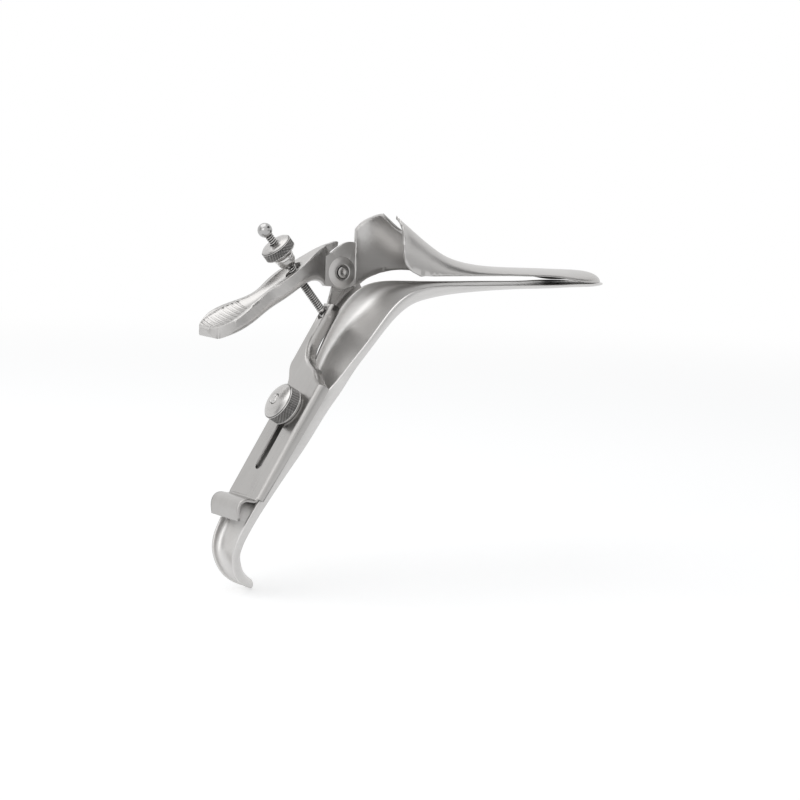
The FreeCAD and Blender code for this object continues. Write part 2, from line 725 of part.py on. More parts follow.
def ridge_plates():
    """Thin plates across the thumb rest, one where each ridge stands."""
    middle = size("lever_middle_y")
    pitch = size("ridge_pitch")
    thick = 0.45 * pitch
    plates = []
    for number in range(int(size("ridge_count"))):
        x = DISH_LINE[0][0] + 1.5 + pitch * number * 0.93
        z, slope, reach, share, rise = interpolate(DISH_LINE, x)
        turn = math.radians(slope)
        plate = Part.makeBox(thick, 40.0, 12.0, V(-thick / 2, -20.0, -6.0))
        plate.rotate(V(0, 0, 0), V(0, 1, 0), -math.degrees(turn))
        plate.translate(V(x, middle, z))
        plates.append(plate)
    return Part.makeCompound(plates)


def rod_line(distance):
    """A point on the rod's axis, at a distance from its pin."""
    lean = math.radians(size("rod_lean"))
    pin = on_handle(size("rod_pin_s"), size("lever_middle_y"), size("rod_pin_m"))
    return pin + V(math.cos(lean), 0, math.sin(lean)) * distance


def rod_axis():
    """The rod's direction, from its pin to its ball."""
    lean = math.radians(size("rod_lean"))
    return V(math.cos(lean), 0, math.sin(lean))


def rod_slot():
    """The round-ended cutter for the rod's slot in the lever."""
    length = size("rod_slot_length")
    width = size("rod_slot_width")
    axis = rod_axis()
    along = ACROSS.cross(axis)
    start = rod_line(8.0)
    radius = width / 2
    offset = (length - width) / 2
    corners = [
        start + along * offset + ACROSS * radius, start - along * offset + ACROSS * radius,
        start - along * offset - ACROSS * radius, start + along * offset - ACROSS * radius,
    ]
    reach = 40.0
    box = Part.Face(polygon(corners)).extrude(axis * reach)
    caps = [Part.makeCylinder(radius, reach, start + along * side, axis) for side in (offset, -offset)]
    return box.fuse(caps)


def pivot_parts():
    """The pivot screw through both ears, and the nut on its outer end."""
    head = size("pivot_head_height")
    ear_y = size("ear_inner_y")
    stack = "$pivot_head_height + $seat_play + $sheet + $ear_gap + $yoke_sheet + $seat_play + $pivot_nut_height"
    screw = turned("pivot_screw", [
        ("0", "0.55"),
        ("$pivot_dimple", "0.15"),
        ("$pivot_dimple + 0.15", "0"),
        ("$pivot_head_diameter / 2 - 0.4", "0"),
        ("$pivot_head_diameter / 2", "0.4"),
        ("$pivot_head_diameter / 2", "$pivot_head_height"),
        ("$pivot_diameter / 2", "$pivot_head_height"),
        ("$pivot_diameter / 2", stack + " + 0.4"),
        ("0", stack + " + 0.4"),
    ])
    place(screw, V(0, ear_y - size("seat_play") - head, 0), ACROSS)
    nut = turned("pivot_nut", [
        ("$pivot_diameter / 2", "0"),
        ("$pivot_nut_diameter / 2", "0"),
        ("$pivot_nut_diameter / 2", "$pivot_nut_height - 0.6"),
        ("$pivot_nut_diameter / 2 - 0.6", "$pivot_nut_height"),
        ("$pivot_diameter / 2", "$pivot_nut_height"),
    ])
    outer = ear_y + size("sheet") + size("ear_gap") + size("yoke_sheet")
    place(nut, V(0, outer + size("seat_play"), 0), ACROSS)


def rod_parts():
    """The threaded rod with its eye, its pin, the ball, the knurled nut, its collar and the saddle."""
    axis = rod_axis()
    radius = size("rod_diameter") / 2
    shank = Part.makeCylinder(radius, size("rod_length"), rod_line(0.0), axis)
    eye_half = size("rod_eye_width") / 2
    # The shank is flattened at the eye.
    flats = Part.makeBox(80.0, 20.0, 80.0, V(-40.0, -20.0 - eye_half, -40.0))
    other = Part.makeBox(80.0, 20.0, 80.0, V(-40.0, eye_half, -40.0))
    near_end = Part.makeCylinder(radius + 0.3, 3.2, V(0, 0, 0), axis)
    for tool in (flats, other):
        near_end = near_end.cut(tool)
    near_end.translate(rod_line(0.0))
    keep_out = Part.makeCylinder(radius + 1.0, 3.2, rod_line(-0.01), axis)
    eye = Part.makeCylinder(size("rod_eye_radius"), 2 * eye_half, rod_line(0.0) - ACROSS * eye_half, ACROSS)
    rod = shank.cut(keep_out).fuse([near_end, eye])
    pin_bore = size("rod_pin_diameter") / 2 + size("pivot_fit")
    rod = rod.cut(Part.makeCylinder(pin_bore, 20.0, rod_line(0.0) - ACROSS * 10.0, ACROSS))
    seat = size("rod_length") - size("ball_diameter") / 2 + 1.2
    rod = rod.cut(Part.makeCylinder(radius + 1.0, 20.0, rod_line(seat), axis))
    shaped("threaded_rod", largest(rod.removeSplitter()))
    arm_far = size("ear_inner_y") + size("sheet") + size("ear_gap") + size("yoke_sheet")
    near_y = size("arm_near_y")
    pin = turned("rod_pin", [
        ("0", "0"),
        ("$rod_pin_diameter / 2", "0"),
        ("$rod_pin_diameter / 2",
         "$ear_inner_y + $sheet + $ear_gap + $yoke_sheet - $arm_near_y"),
        ("0", "$ear_inner_y + $sheet + $ear_gap + $yoke_sheet - $arm_near_y"),
    ])
    start = rod_line(0.0)
    place(pin, V(start.x, near_y, start.z), ACROSS)
    ball = DOC.addObject("Part::Sphere", "ball_form")
    ball.setExpression("Radius", "Sizes.ball_diameter / 2")
    socket = DOC.addObject("Part::Cylinder", "ball_socket")
    socket.setExpression("Radius", "Sizes.rod_diameter / 2")
    socket.setExpression("Height", "Sizes.ball_diameter")
    socket.Placement.Base = V(0, 0, 1.2 - size("ball_diameter") / 2 - size("ball_diameter"))
    cut = DOC.addObject("Part::Cut", "rod_ball_cut")
    cut.Base = ball
    cut.Tool = socket
    DOC.recompute()
    keep(cut, "rod_ball")
    place(cut, rod_line(size("rod_length")), axis)
    nut = turned("lever_nut", [
        ("$rod_diameter / 2 + $pivot_fit", "0"),
        ("$nut_diameter / 2 - 0.4", "0"),
        ("$nut_diameter / 2", "0.4"),
        ("$nut_diameter / 2", "$nut_band"),
        ("$nut_diameter / 2 - 1.1", "$nut_band + $nut_chamfer * 0.65"),
        ("$nut_diameter / 2 - 3.0", "$nut_band + $nut_chamfer"),
        ("$rod_diameter / 2 + $pivot_fit", "$nut_band + $nut_chamfer"),
    ])
    place(nut, rod_line(size("nut_place")), axis)
    collar = turned("nut_collar", [
        ("$rod_diameter / 2 + $pivot_fit", "0"),
        ("$collar_diameter / 2 - 0.3", "0"),
        ("$collar_diameter / 2", "0.3"),
        ("$collar_diameter / 2", "1.2"),
        ("$collar_diameter / 2 - 0.9", "1.7"),
        ("$collar_diameter / 2 - 0.9", "$collar_height"),
        ("$rod_diameter / 2 + $pivot_fit", "$collar_height"),
    ])
    place(collar, rod_line(size("nut_place") - size("collar_height")), axis)
    saddle = turned("slot_saddle", [
        ("$rod_diameter / 2 + $pivot_fit", "0"),
        ("$rod_diameter / 2 + 0.6", "0"),
        ("$saddle_diameter / 2 - 0.8", "1.0"),
        ("$saddle_diameter / 2", "2.4"),
        ("$saddle_diameter / 2", "$saddle_height"),
        ("$rod_diameter / 2 + $pivot_fit", "$saddle_height"),
    ])
    place(saddle, rod_line(size("nut_place") - size("collar_height") - size("saddle_height")), axis)


def lock_parts():
    """The stud fixed in the handle, its washer and the domed knurled knob that clamps the yoke."""
    stud_s = size("slot_top_s") + size("slot_width") / 2
    face_m = size("plate_face_m")
    play = size("seat_play")
    wall = size("sheet")
    plate_back = size("rim_m")
    floor_m = plate_back - channel_depth_at(stud_s) + wall
    knob_base = face_m + play + size("washer_height")
    top = knob_base + size("knob_band") + size("knob_dome") + 0.4
    length = top - floor_m
    stud = turned("lock_stud", [
        ("0", "-$sheet"),
        ("$stud_diameter / 2", "-$sheet"),
        ("$stud_diameter / 2", "0"),
        ("$stud_head_diameter / 2", "0"),
        ("$stud_head_diameter / 2", "$stud_head_height"),
        ("$stud_diameter / 2 - 0.05", "$stud_head_height"),
        ("$stud_diameter / 2 - 0.05", "%.4f - 0.5" % length),
        ("$stud_diameter / 2 - 0.55", "%.4f" % length),
        ("0", "%.4f" % length),
    ])
    place(stud, on_handle(stud_s, 0, floor_m), FACE)
    washer = turned("lock_washer", [
        ("$stud_diameter / 2 + $pivot_fit", "0"),
        ("$washer_diameter / 2", "0"),
        ("$washer_diameter / 2", "$washer_height"),
        ("$stud_diameter / 2 + $pivot_fit", "$washer_height"),
    ])
    place(washer, on_handle(stud_s, 0, face_m + play), FACE)
    knob = turned("lock_knob", [
        ("$stud_diameter / 2 + $pivot_fit", "0"),
        ("$knob_diameter / 2 - 0.5", "0"),
        ("$knob_diameter / 2", "0.5"),
        ("$knob_diameter / 2", "$knob_band - 0.4"),
        ("$knob_diameter / 2 - 0.4", "$knob_band"),
        ("$knob_diameter * 0.34", "$knob_band + $knob_dome * 0.55"),
        ("$knob_diameter * 0.18", "$knob_band + $knob_dome * 0.93"),
        ("$stud_diameter / 2 + 0.6", "$knob_band + $knob_dome"),
        ("$stud_diameter / 2 + $pivot_fit", "$knob_band + $knob_dome"),
    ])
    place(knob, on_handle(stud_s, 0, knob_base), FACE)


def channel_depth_at(s):
    """The handle channel's outer depth below its rims at s."""
    top_s = size("yoke_top_s")
    deep_top = size("handle_depth")
    table = [(top_s + 13.0, deep_top), (top_s + 24.0, deep_top - 0.6)]
    return interpolate(table, s)[0]


def check():
    """Stops if any object failed, or any sub-part is missing, empty or not valid."""
    for obj in DOC.Objects:
        states = [state for state in obj.State if state in ("Invalid", "Error")]
        if states:
            raise RuntimeError("%s: %s" % (obj.Label, states))
    for obj in PIECES:
        if obj.Shape.isNull() or not obj.Shape.isValid() or obj.Shape.Volume <= 0:
            raise RuntimeError("bad shape: " + obj.Label)


def write():
    """Writes each sub-part's shape to its own STEP file."""
    os.makedirs("parts", exist_ok=True)
    for obj in PIECES:
        obj.Shape.exportStep(os.path.join("parts", obj.Label + ".step"))
        box = obj.Shape.BoundBox
        print("%-14s %8.1f mm3  %5.1f x %5.1f x %5.1f" % (
            obj.Label, obj.Shape.Volume, box.XLength, box.YLength, box.ZLength))


upper_valve()
lower_valve()
yoke()
thumb_lever()
pivot_parts()
rod_parts()
lock_parts()
DOC.recompute()
check()
write()
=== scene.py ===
"""The looks of a side-opening bivalve speculum in satin stainless steel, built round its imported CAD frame.

Lengths are in metres. +X runs along the blades to their tips, +Y to the side that carries the arm and
the thumb lever, +Z up. The origin is the valves' pivot axis in the blades' middle plane.
"""

import logging
import math
from dataclasses import dataclass
from enum import Enum
from typing import Any, Mapping, Sequence

import bmesh
import bpy
import numpy as np
from mathutils import Matrix, Vector


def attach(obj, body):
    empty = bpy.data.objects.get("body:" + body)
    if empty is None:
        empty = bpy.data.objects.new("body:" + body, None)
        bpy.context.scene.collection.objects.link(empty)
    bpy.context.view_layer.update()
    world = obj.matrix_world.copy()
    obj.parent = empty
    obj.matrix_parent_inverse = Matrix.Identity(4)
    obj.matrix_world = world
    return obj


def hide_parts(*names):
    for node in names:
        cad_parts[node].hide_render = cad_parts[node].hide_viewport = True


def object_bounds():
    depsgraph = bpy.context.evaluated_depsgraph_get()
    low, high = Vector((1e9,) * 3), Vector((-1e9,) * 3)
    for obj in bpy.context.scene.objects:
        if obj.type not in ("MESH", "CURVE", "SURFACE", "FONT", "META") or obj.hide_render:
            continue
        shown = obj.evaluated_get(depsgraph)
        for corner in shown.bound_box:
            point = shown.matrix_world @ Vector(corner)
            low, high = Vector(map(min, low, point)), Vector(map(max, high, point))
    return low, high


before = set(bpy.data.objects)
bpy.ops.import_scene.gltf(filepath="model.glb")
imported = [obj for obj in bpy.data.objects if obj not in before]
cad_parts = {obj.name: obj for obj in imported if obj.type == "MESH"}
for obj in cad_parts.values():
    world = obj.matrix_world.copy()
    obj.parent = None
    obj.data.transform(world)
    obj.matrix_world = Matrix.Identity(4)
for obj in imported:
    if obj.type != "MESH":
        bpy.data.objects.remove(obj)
cad_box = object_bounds()

LOG = logging.getLogger("speculum")
MM = 0.001
HANDLE_ANGLE = math.radians(58.2)
FACE = np.array([-math.sin(HANDLE_ANGLE), 0.0, math.cos(HANDLE_ANGLE)])
ACROSS = np.array([0.0, 1.0, 0.0])
ROD_LEAN = math.radians(129.9)
ROD = np.array([math.cos(ROD_LEAN), 0.0, math.sin(ROD_LEAN)])
CLOUD_SCALE = 70.0
NICK_SCALE = (90.0, 2400.0, 2400.0)
NICK_RANGE = (0.76, 0.82)
# Ranges of the edge mask (edge wear and painted highlight) and of the painted shade read from ambient
# occlusion.
EDGE_RANGE = (0.01, 0.12)
PAINTED_SHADE_RANGE = (0.05, 0.60)


# ---------------------------------------------------------------- shader maths

class Value:
    """A number's socket; Python's operators on it add Math nodes."""

    def __init__(self, board: "Board", socket: bpy.types.NodeSocket) -> None:
        """Wraps a socket of the board's node tree."""
        self.board = board
        self.socket = socket

    def math(self, operation: str, *others: Any, flip: bool = False) -> "Value":
        """Adds one Math node.

        Args:
            operation: The Math node's operation.
            others: The other operands, numbers or Values.
            flip: Whether this value comes second.

        Returns:
            The result's Value.
        """
        operands = [self, *others]
        if flip:
            operands.reverse()
        made = self.board.node("ShaderNodeMath", {"operation": operation}, dict(enumerate(operands)))
        return Value(self.board, made.outputs[0])

    def __add__(self, other: Any) -> "Value":
        """This plus the other."""
        return self.math("ADD", other)

    def __radd__(self, other: Any) -> "Value":
        """The other plus this."""
        return self.math("ADD", other, flip=True)

    def __sub__(self, other: Any) -> "Value":
        """This minus the other."""
        return self.math("SUBTRACT", other)

    def __rsub__(self, other: Any) -> "Value":
        """The other minus this."""
        return self.math("SUBTRACT", other, flip=True)

    def __mul__(self, other: Any) -> "Value":
        """This times the other."""
        return self.math("MULTIPLY", other)

    def __rmul__(self, other: Any) -> "Value":
        """The other times this."""
        return self.math("MULTIPLY", other, flip=True)

    def at_most(self, other: Any) -> "Value":
        """The lesser of this and the other."""
        return self.math("MINIMUM", other)

    def at_least(self, other: Any) -> "Value":
        """The greater of this and the other."""
        return self.math("MAXIMUM", other)

    def step(self, low: float, high: float) -> "Value":
        """Rises smoothly from 0 at low to 1 at high.

        Args:
            low: Where the rise starts.
            high: Where it ends.

        Returns:
            The mask's Value, kept between 0 and 1.
        """
        made = self.board.node(
            "ShaderNodeMapRange", {"interpolation_type": "SMOOTHSTEP", "clamp": True},
            {"Value": self, "From Min": low, "From Max": high})
        return Value(self.board, made.outputs["Result"])

    def step_scaled(self, low: float, high: float) -> "Value":
        """As step, for lengths, which are turned into millimetres first."""
        return (self * 1000.0).step(low * 1000.0, high * 1000.0)


class Board:
    """A node tree that materials and the world are wired on."""

    def __init__(self, tree: bpy.types.NodeTree) -> None:
        """Empties the tree."""
        self.tree = tree
        tree.nodes.clear()

    def node(
        self, kind: str, settings: Mapping[str, Any] | None = None, inputs: Mapping[Any, Any] | None = None,
    ) -> bpy.types.Node:
        """Adds a node, its settings first and then its sockets.

        Args:
            kind: The node's type.
            settings: Attributes to set, such as a Math node's operation.
            inputs: Socket names or numbers, with a plain value, a socket or a Value for each.

        Returns:
            The node.
        """
        made = self.tree.nodes.new(kind)
        for name, setting in (settings or {}).items():
            setattr(made, name, setting)
        for key, given in (inputs or {}).items():
            if isinstance(given, Value):
                given = given.socket
            if isinstance(given, bpy.types.NodeSocket):
                self.tree.links.new(given, made.inputs[key])
            else:
                made.inputs[key].default_value = given
        return made

    def number(self, kind: str, output: str, settings: Mapping[str, Any] | None = None,
               inputs: Mapping[Any, Any] | None = None) -> Value:
        """Adds a node and wraps one of its outputs.

        Args:
            kind: The node's type.
            output: The output's name.
            settings: As for node.
            inputs: As for node.

        Returns:
            The output's Value.
        """
        return Value(self, self.node(kind, settings, inputs).outputs[output])

    def tint(self, mask: Value, dark: Sequence[float], light: Sequence[float]) -> bpy.types.NodeSocket:
        """Mixes two colours by a mask.

        Args:
            mask: 0 gives dark, 1 gives light.
            dark: A linear colour of three numbers.
            light: The other colour.

        Returns:
            The mixed colour's socket.
        """
        made = self.node("ShaderNodeMix", {"data_type": "RGBA", "clamp_factor": True},
                         {0: mask, 6: (*dark, 1.0), 7: (*light, 1.0)})
        return made.outputs[2]


# ---------------------------------------------------------------- finishes

class Stroke(Enum):
    """Which way a surface was brushed, as the turn that lays the grain's length along X."""

    BLADE = (0.0, 0.0, 0.0)
    HANDLE = (0.0, HANDLE_ANGLE, 0.0)
    LEVER = (0.0, math.radians(-32.0), 0.0)
    ROD = (0.0, ROD_LEAN, 0.0)
    CROSS = (0.0, 0.0, math.radians(90.0))


@dataclass(frozen=True)
class Steel:
    """Stainless steel with brushed or turned grain, cloudy polish and fine scratches; its edges are painted
    lighter, partly as rubbed wear and partly as a painted highlight, and its crevices and grooves are painted
    darker as painted shade.
    """

    name: str
    stroke: Stroke
    shade: float = 0.50
    warmth: float = 0.010
    roughness: float = 0.30
    grain: float = 0.06
    grain_width: float = 0.22 * MM
    grain_length: float = 9.0 * MM
    clouds: float = 0.07
    scratches: float = 0.3
    edge_round: float = 0.20 * MM
    # How much lighter the edges are painted: partly rubbed wear, partly a painted highlight.
    edge_wear_and_highlight: float = 0.5
    # Reach of the ambient occlusion and grey of the painted shade in crevices and gaps between parts.
    crevice: float = 0.9 * MM
    crevice_painted_shade: float = 0.30
    turned_on: "Axis | None" = None
    # The groove's root and crest radii, and the grey of the painted shade in it: thread roots, knurl grooves
    # and recesses darkened by radius.
    groove: tuple[float, float] | None = None
    groove_painted_shade: float = 0.30

    def colours(self) -> tuple[tuple[float, ...], tuple[float, ...]]:
        """The metal's darker and lighter tone, both very slightly warm."""
        low = self.shade * (1.0 - self.clouds * 1.6)
        high = min(self.shade * (1.0 + self.clouds * 1.6), 0.95)
        return (low + self.warmth, low, low - self.warmth), (high + self.warmth, high, high - self.warmth)

    def grain_paths(self, board: Board, place: bpy.types.NodeSocket) -> tuple[Any, Any, Value | None]:
        """Where the fine and the broad grain are read.

        A brushed surface is read along its stroke, stretched by the grain's length. A turned one is read
        at its distance from the axis and its height along it, so the grain runs in rings.

        Args:
            board: The material's board.
            place: The object coordinates.

        Returns:
            The fine grain's vector, the broad grain's vector, and a turned piece's radius.
        """
        if self.turned_on is None:
            laid = board.node("ShaderNodeMapping", {"vector_type": "POINT"}, {
                "Vector": place, "Rotation": self.stroke.value}).outputs["Vector"]
            radius = None
            fine = (1.0 / self.grain_length, 1.0 / self.grain_width, 1.0 / self.grain_width)
        else:
            along = self.turned_on.along
            offset = board.node("ShaderNodeVectorMath", {"operation": "SUBTRACT"}, {
                0: place, 1: self.turned_on.origin}).outputs[0]
            crossed = board.node("ShaderNodeVectorMath", {"operation": "CROSS_PRODUCT"}, {
                0: offset, 1: along})
            radius = board.number("ShaderNodeVectorMath", "Value", {"operation": "LENGTH"}, {
                0: crossed.outputs[0]})
            height = board.number("ShaderNodeVectorMath", "Value", {"operation": "DOT_PRODUCT"}, {
                0: offset, 1: along})
            laid = board.node("ShaderNodeCombineXYZ", None, {"X": radius, "Y": height}).outputs[0]
            fine = (1.0 / self.grain_width, 1.0 / self.grain_width, 1.0)
        broad = tuple(0.2 * scale for scale in fine)
        paths = [board.node("ShaderNodeVectorMath", {"operation": "MULTIPLY"}, {0: laid, 1: scale}).outputs[0]
                 for scale in (fine, broad)]
        return paths[0], paths[1], radius

    def noise(self, board: Board, vector: Any, scale: float, detail: float, distortion: float = 0.0) -> Value:
        """A noise texture's value.

        Args:
            board: The material's board.
            vector: Where it is read.
            scale: Its scale.
            detail: Its octaves.
            distortion: How far it is warped.

        Returns:
            The noise's Value.
        """
        return board.number("ShaderNodeTexNoise", "Fac", {"noise_dimensions": "3D"}, {
            "Vector": vector, "Scale": scale, "Detail": detail, "Roughness": 0.55, "Distortion": distortion})

    def material(self) -> bpy.types.Material:
        """Builds the material.

        Returns:
            A material whose colour, roughness and bump follow its grain, clouds, scratches and edges; its
            colour carries a painted highlight on the edges and painted shade in crevices and grooves.
        """
        made = bpy.data.materials.new(self.name)
        made.use_nodes = True
        board = Board(made.node_tree)
        place = board.node("ShaderNodeTexCoord").outputs["Object"]
        fine_path, broad_path, radius = self.grain_paths(board, place)
        lines = self.noise(board, fine_path, 1.0, 3.0)
        bands = self.noise(board, broad_path, 1.0, 2.0)
        cloudy = self.noise(board, place, CLOUD_SCALE, 3.0, 0.4)
        nick_way = board.node("ShaderNodeMapping", {"vector_type": "POINT"}, {
            "Vector": place, "Rotation": (0.35, self.stroke.value[1] + 0.5, 0.6), "Scale": NICK_SCALE})
        nicks = self.noise(board, nick_way.outputs["Vector"], 1.0, 0.0).step(*NICK_RANGE) * self.scratches
        corner = board.node("ShaderNodeBevel", {"samples": 4}, {"Radius": self.edge_round})
        plain = board.node("ShaderNodeNewGeometry").outputs["Normal"]
        agree = board.number("ShaderNodeVectorMath", "Value", {"operation": "DOT_PRODUCT"}, {
            0: corner.outputs["Normal"], 1: plain})
        # Edge mask: edges are painted lighter, partly as rubbed wear and partly as a painted highlight on
        # bends and rims.
        edge = (1.0 - agree).step(*EDGE_RANGE)
        tone = (cloudy - 0.5) * 0.9 + (lines - 0.5) * (self.grain * 6.0) + (bands - 0.5) * 0.6 + 0.5
        tone = tone + edge * self.edge_wear_and_highlight + nicks * 0.25
        rough = (self.roughness + (lines - 0.5) * self.grain + (cloudy - 0.5) * self.clouds
                 - edge * (self.roughness * 0.3) - nicks * 0.05)
        dark, light = self.colours()
        colour = board.tint(tone, dark, light)
        # Painted shade: ambient occlusion darkens the colour in crevices and in gaps between parts.
        open_air = board.number("ShaderNodeAmbientOcclusion", "AO", {"samples": 6, "only_local": False}, {
            "Distance": self.crevice})
        painted_shade_mask = 1.0 - open_air.step(*PAINTED_SHADE_RANGE)
        # Painted shade in grooves: thread roots, knurl grooves and the screw's ring recess darkened by
        # radius.
        if self.groove is not None:
            root, crest = self.groove
            in_band = radius.step_scaled(root - 0.12 * MM, root - 0.02 * MM)
            painted_shade_mask = painted_shade_mask.at_least((1.0 - radius.step_scaled(root, crest)) * in_band)
        # The grey that the painted shade darkens to, as a share of the dark tone.
        floor = self.groove_painted_shade if self.groove is not None else self.crevice_painted_shade
        colour = board.node("ShaderNodeMix", {"data_type": "RGBA", "clamp_factor": True}, {
            0: painted_shade_mask, 6: colour, 7: (*(part * floor for part in dark), 1.0)}).outputs[2]
        relief = lines * 0.75 + bands * 0.25 - nicks * 0.5
        bump = board.node("ShaderNodeBump", None, {
            "Strength": 0.10, "Distance": 0.02 * MM, "Height": relief, "Normal": corner.outputs["Normal"]})
        skin = board.node("ShaderNodeBsdfPrincipled", None, {
            "Base Color": colour, "Metallic": 1.0,
            "Roughness": (rough + painted_shade_mask * 0.15).at_least(0.04).at_most(0.8), "Normal": bump.outputs["Normal"]})
        board.node("ShaderNodeOutputMaterial", None, {"Surface": skin.outputs["BSDF"]})
        return made


# ---------------------------------------------------------------- meshes

@dataclass(frozen=True)
class Axis:
    """A turned piece's axis: where it starts and which way it runs, as unit vector."""

    origin: tuple[float, float, float]
    along: tuple[float, float, float]

    def cross_vectors(self) -> tuple[np.ndarray, np.ndarray]:
        """Two unit vectors square to the axis and to each other, right-handed with it."""
        along = np.asarray(self.along)
        first = np.cross(along, ACROSS if abs(along[1]) < 0.9 else np.array([1.0, 0.0, 0.0]))
        first = first / np.linalg.norm(first)
        return first, np.cross(along, first)

    def place(self, radius: np.ndarray, height: np.ndarray, angle: np.ndarray) -> np.ndarray:
        """Places points given as radius, height and angle about the axis.

        Formula: the axis's start, plus the height along it, plus the radius times the cosine and the
        sine of the angle along the two cross vectors.

        Args:
            radius: Distances from the axis.
            height: Distances along it.
            angle: Angles about it, in radians.

        Returns:
            An array of points, one row of three numbers each, in the inputs' shape.
        """
        first, second = self.cross_vectors()
        radius, height, angle = np.broadcast_arrays(radius, height, angle)
        return (np.asarray(self.origin) + height[..., None] * np.asarray(self.along)
                + (radius * np.cos(angle))[..., None] * first + (radius * np.sin(angle))[..., None] * second)

    def moved(self, distance: float) -> "Axis":
        """The same axis, started further along."""
        start = np.asarray(self.origin) + distance * np.asarray(self.along)
        return Axis(tuple(start), self.along)


def grid_faces(rows: int, columns: int, closed_rows: bool) -> np.ndarray:
    """Quads of a grid whose columns go round.

    Formula: the quad at row i and column j joins (i, j), (i, j + 1), (i + 1, j + 1) and (i + 1, j), with
    columns, and rows where the profile is a closed loop, taken modulo their count.

    Args:
        rows: How many rows of points.
        columns: How many points in a row.
        closed_rows: Whether the last row joins the first.

    Returns:
        An array of vertex numbers, four to a quad.
    """
    spans = rows if closed_rows else rows - 1
    row, column = np.meshgrid(np.arange(spans), np.arange(columns), indexing="ij")
    after, beside = (row + 1) % rows, (column + 1) % columns
    corners = [row * columns + column, row * columns + beside,
               after * columns + beside, after * columns + column]
    return np.stack(corners, axis=-1).reshape(-1, 4)


def solid_mesh(name: str, points: np.ndarray, faces: Sequence[np.ndarray],
               crease: float = 32.0) -> bpy.types.Object:
    """Makes an object of a closed mesh, outward and smooth with creases.

    Args:
        name: The object's name.
        points: The vertices.
        faces: Arrays of faces, each of one side count.
        crease: The angle in degrees past which an edge stays sharp.

    Returns:
        The object, at the origin.
    """
    mesh = bpy.data.meshes.new(name)
    listed = [face for block in faces for face in np.asarray(block).tolist()]
    mesh.from_pydata(points.reshape(-1, 3).tolist(), [], listed)
    tidy = bmesh.new()
    tidy.from_mesh(mesh)
    bmesh.ops.remove_doubles(tidy, verts=tidy.verts, dist=1e-7)
    bmesh.ops.delete(tidy, geom=[edge for edge in tidy.edges if not edge.link_faces], context="EDGES")
    bmesh.ops.delete(tidy, geom=[point for point in tidy.verts if not point.link_faces], context="VERTS")
    bmesh.ops.recalc_face_normals(tidy, faces=tidy.faces)
    tidy.to_mesh(mesh)
    tidy.free()
    mesh.shade_smooth()
    mesh.set_sharp_from_angle(angle=math.radians(crease))
    made = bpy.data.objects.new(name, mesh)
    bpy.context.scene.collection.objects.link(made)
    return made


@dataclass(frozen=True)
class Knurl:
    """A diamond knurl on a band: teeth round the piece, depth, and the band's ends."""

    teeth: int
    depth: float
    low: float
    high: float
    fade: float = 0.25 * MM

    def cut(self, height: np.ndarray, angle: np.ndarray, radius: float) -> np.ndarray:
        """How far the knurl lies below the band.

        Formula: the lesser of two triangle waves, one of the angle plus the height and one of the angle
        minus the height, each counted in teeth, is 1 on a crest and 0 in a groove. The depth times one
        minus that is faded out at the band's ends.

        Args:
            height: Heights along the axis.
            angle: Angles about it.
            radius: The band's radius.

        Returns:
            The depths.
        """
        turn = angle * self.teeth / (2.0 * np.pi)
        climb = height * self.teeth / (2.0 * np.pi * radius)
        left = 1.0 - np.abs(2.0 * ((turn + climb) % 1.0) - 1.0)
        right = 1.0 - np.abs(2.0 * ((turn - climb) % 1.0) - 1.0)
        inside = (np.clip((height - self.low) / self.fade, 0.0, 1.0)
                  * np.clip((self.high - height) / self.fade, 0.0, 1.0))
        return self.depth * (1.0 - np.minimum(left, right)) * inside


def profile(corners: Sequence[tuple[float, float]], rounding: float, step: float) -> np.ndarray:
    """A turned piece's outline, its corners eased and its runs filled with points.

    Formula: each corner P gives the points of a quadratic curve from a little before P to a little after
    it, weighted (1 - t) squared, 2 t (1 - t) and t squared. The chain is then read off at equal steps
    along each run, so that a run keeps its own ends.

    Args:
        corners: Radius and height of each corner, in millimetres, all the way round.
        rounding: How far from a corner its easing starts, in millimetres.
        step: The longest step, in millimetres.

    Returns:
        Radius and height of each point of the closed outline, in metres.
    """
    places = np.asarray(corners, float)
    before = np.roll(places, 1, axis=0) - places
    after = np.roll(places, -1, axis=0) - places
    reach_in = np.minimum(rounding, np.linalg.norm(before, axis=1) * 0.45)[:, None]
    reach_out = np.minimum(rounding, np.linalg.norm(after, axis=1) * 0.45)[:, None]
    start = places + before / np.linalg.norm(before, axis=1)[:, None] * reach_in
    end = places + after / np.linalg.norm(after, axis=1)[:, None] * reach_out
    t = np.linspace(0.0, 1.0, 4)[None, :, None]
    eased = (1 - t) ** 2 * start[:, None] + 2 * t * (1 - t) * places[:, None] + t ** 2 * end[:, None]
    chain = eased.reshape(-1, 2)
    lengths = np.linalg.norm(np.roll(chain, -1, axis=0) - chain, axis=1)
    counts = np.maximum(np.ceil(lengths / step).astype(int), 1)
    source = np.repeat(np.arange(len(chain)), counts)
    first = np.repeat(np.cumsum(counts) - counts, counts)
    share = ((np.arange(len(source)) - first) / counts[source])[:, None]
    filled = chain[source] * (1 - share) + np.roll(chain, -1, axis=0)[source] * share
    return filled * MM


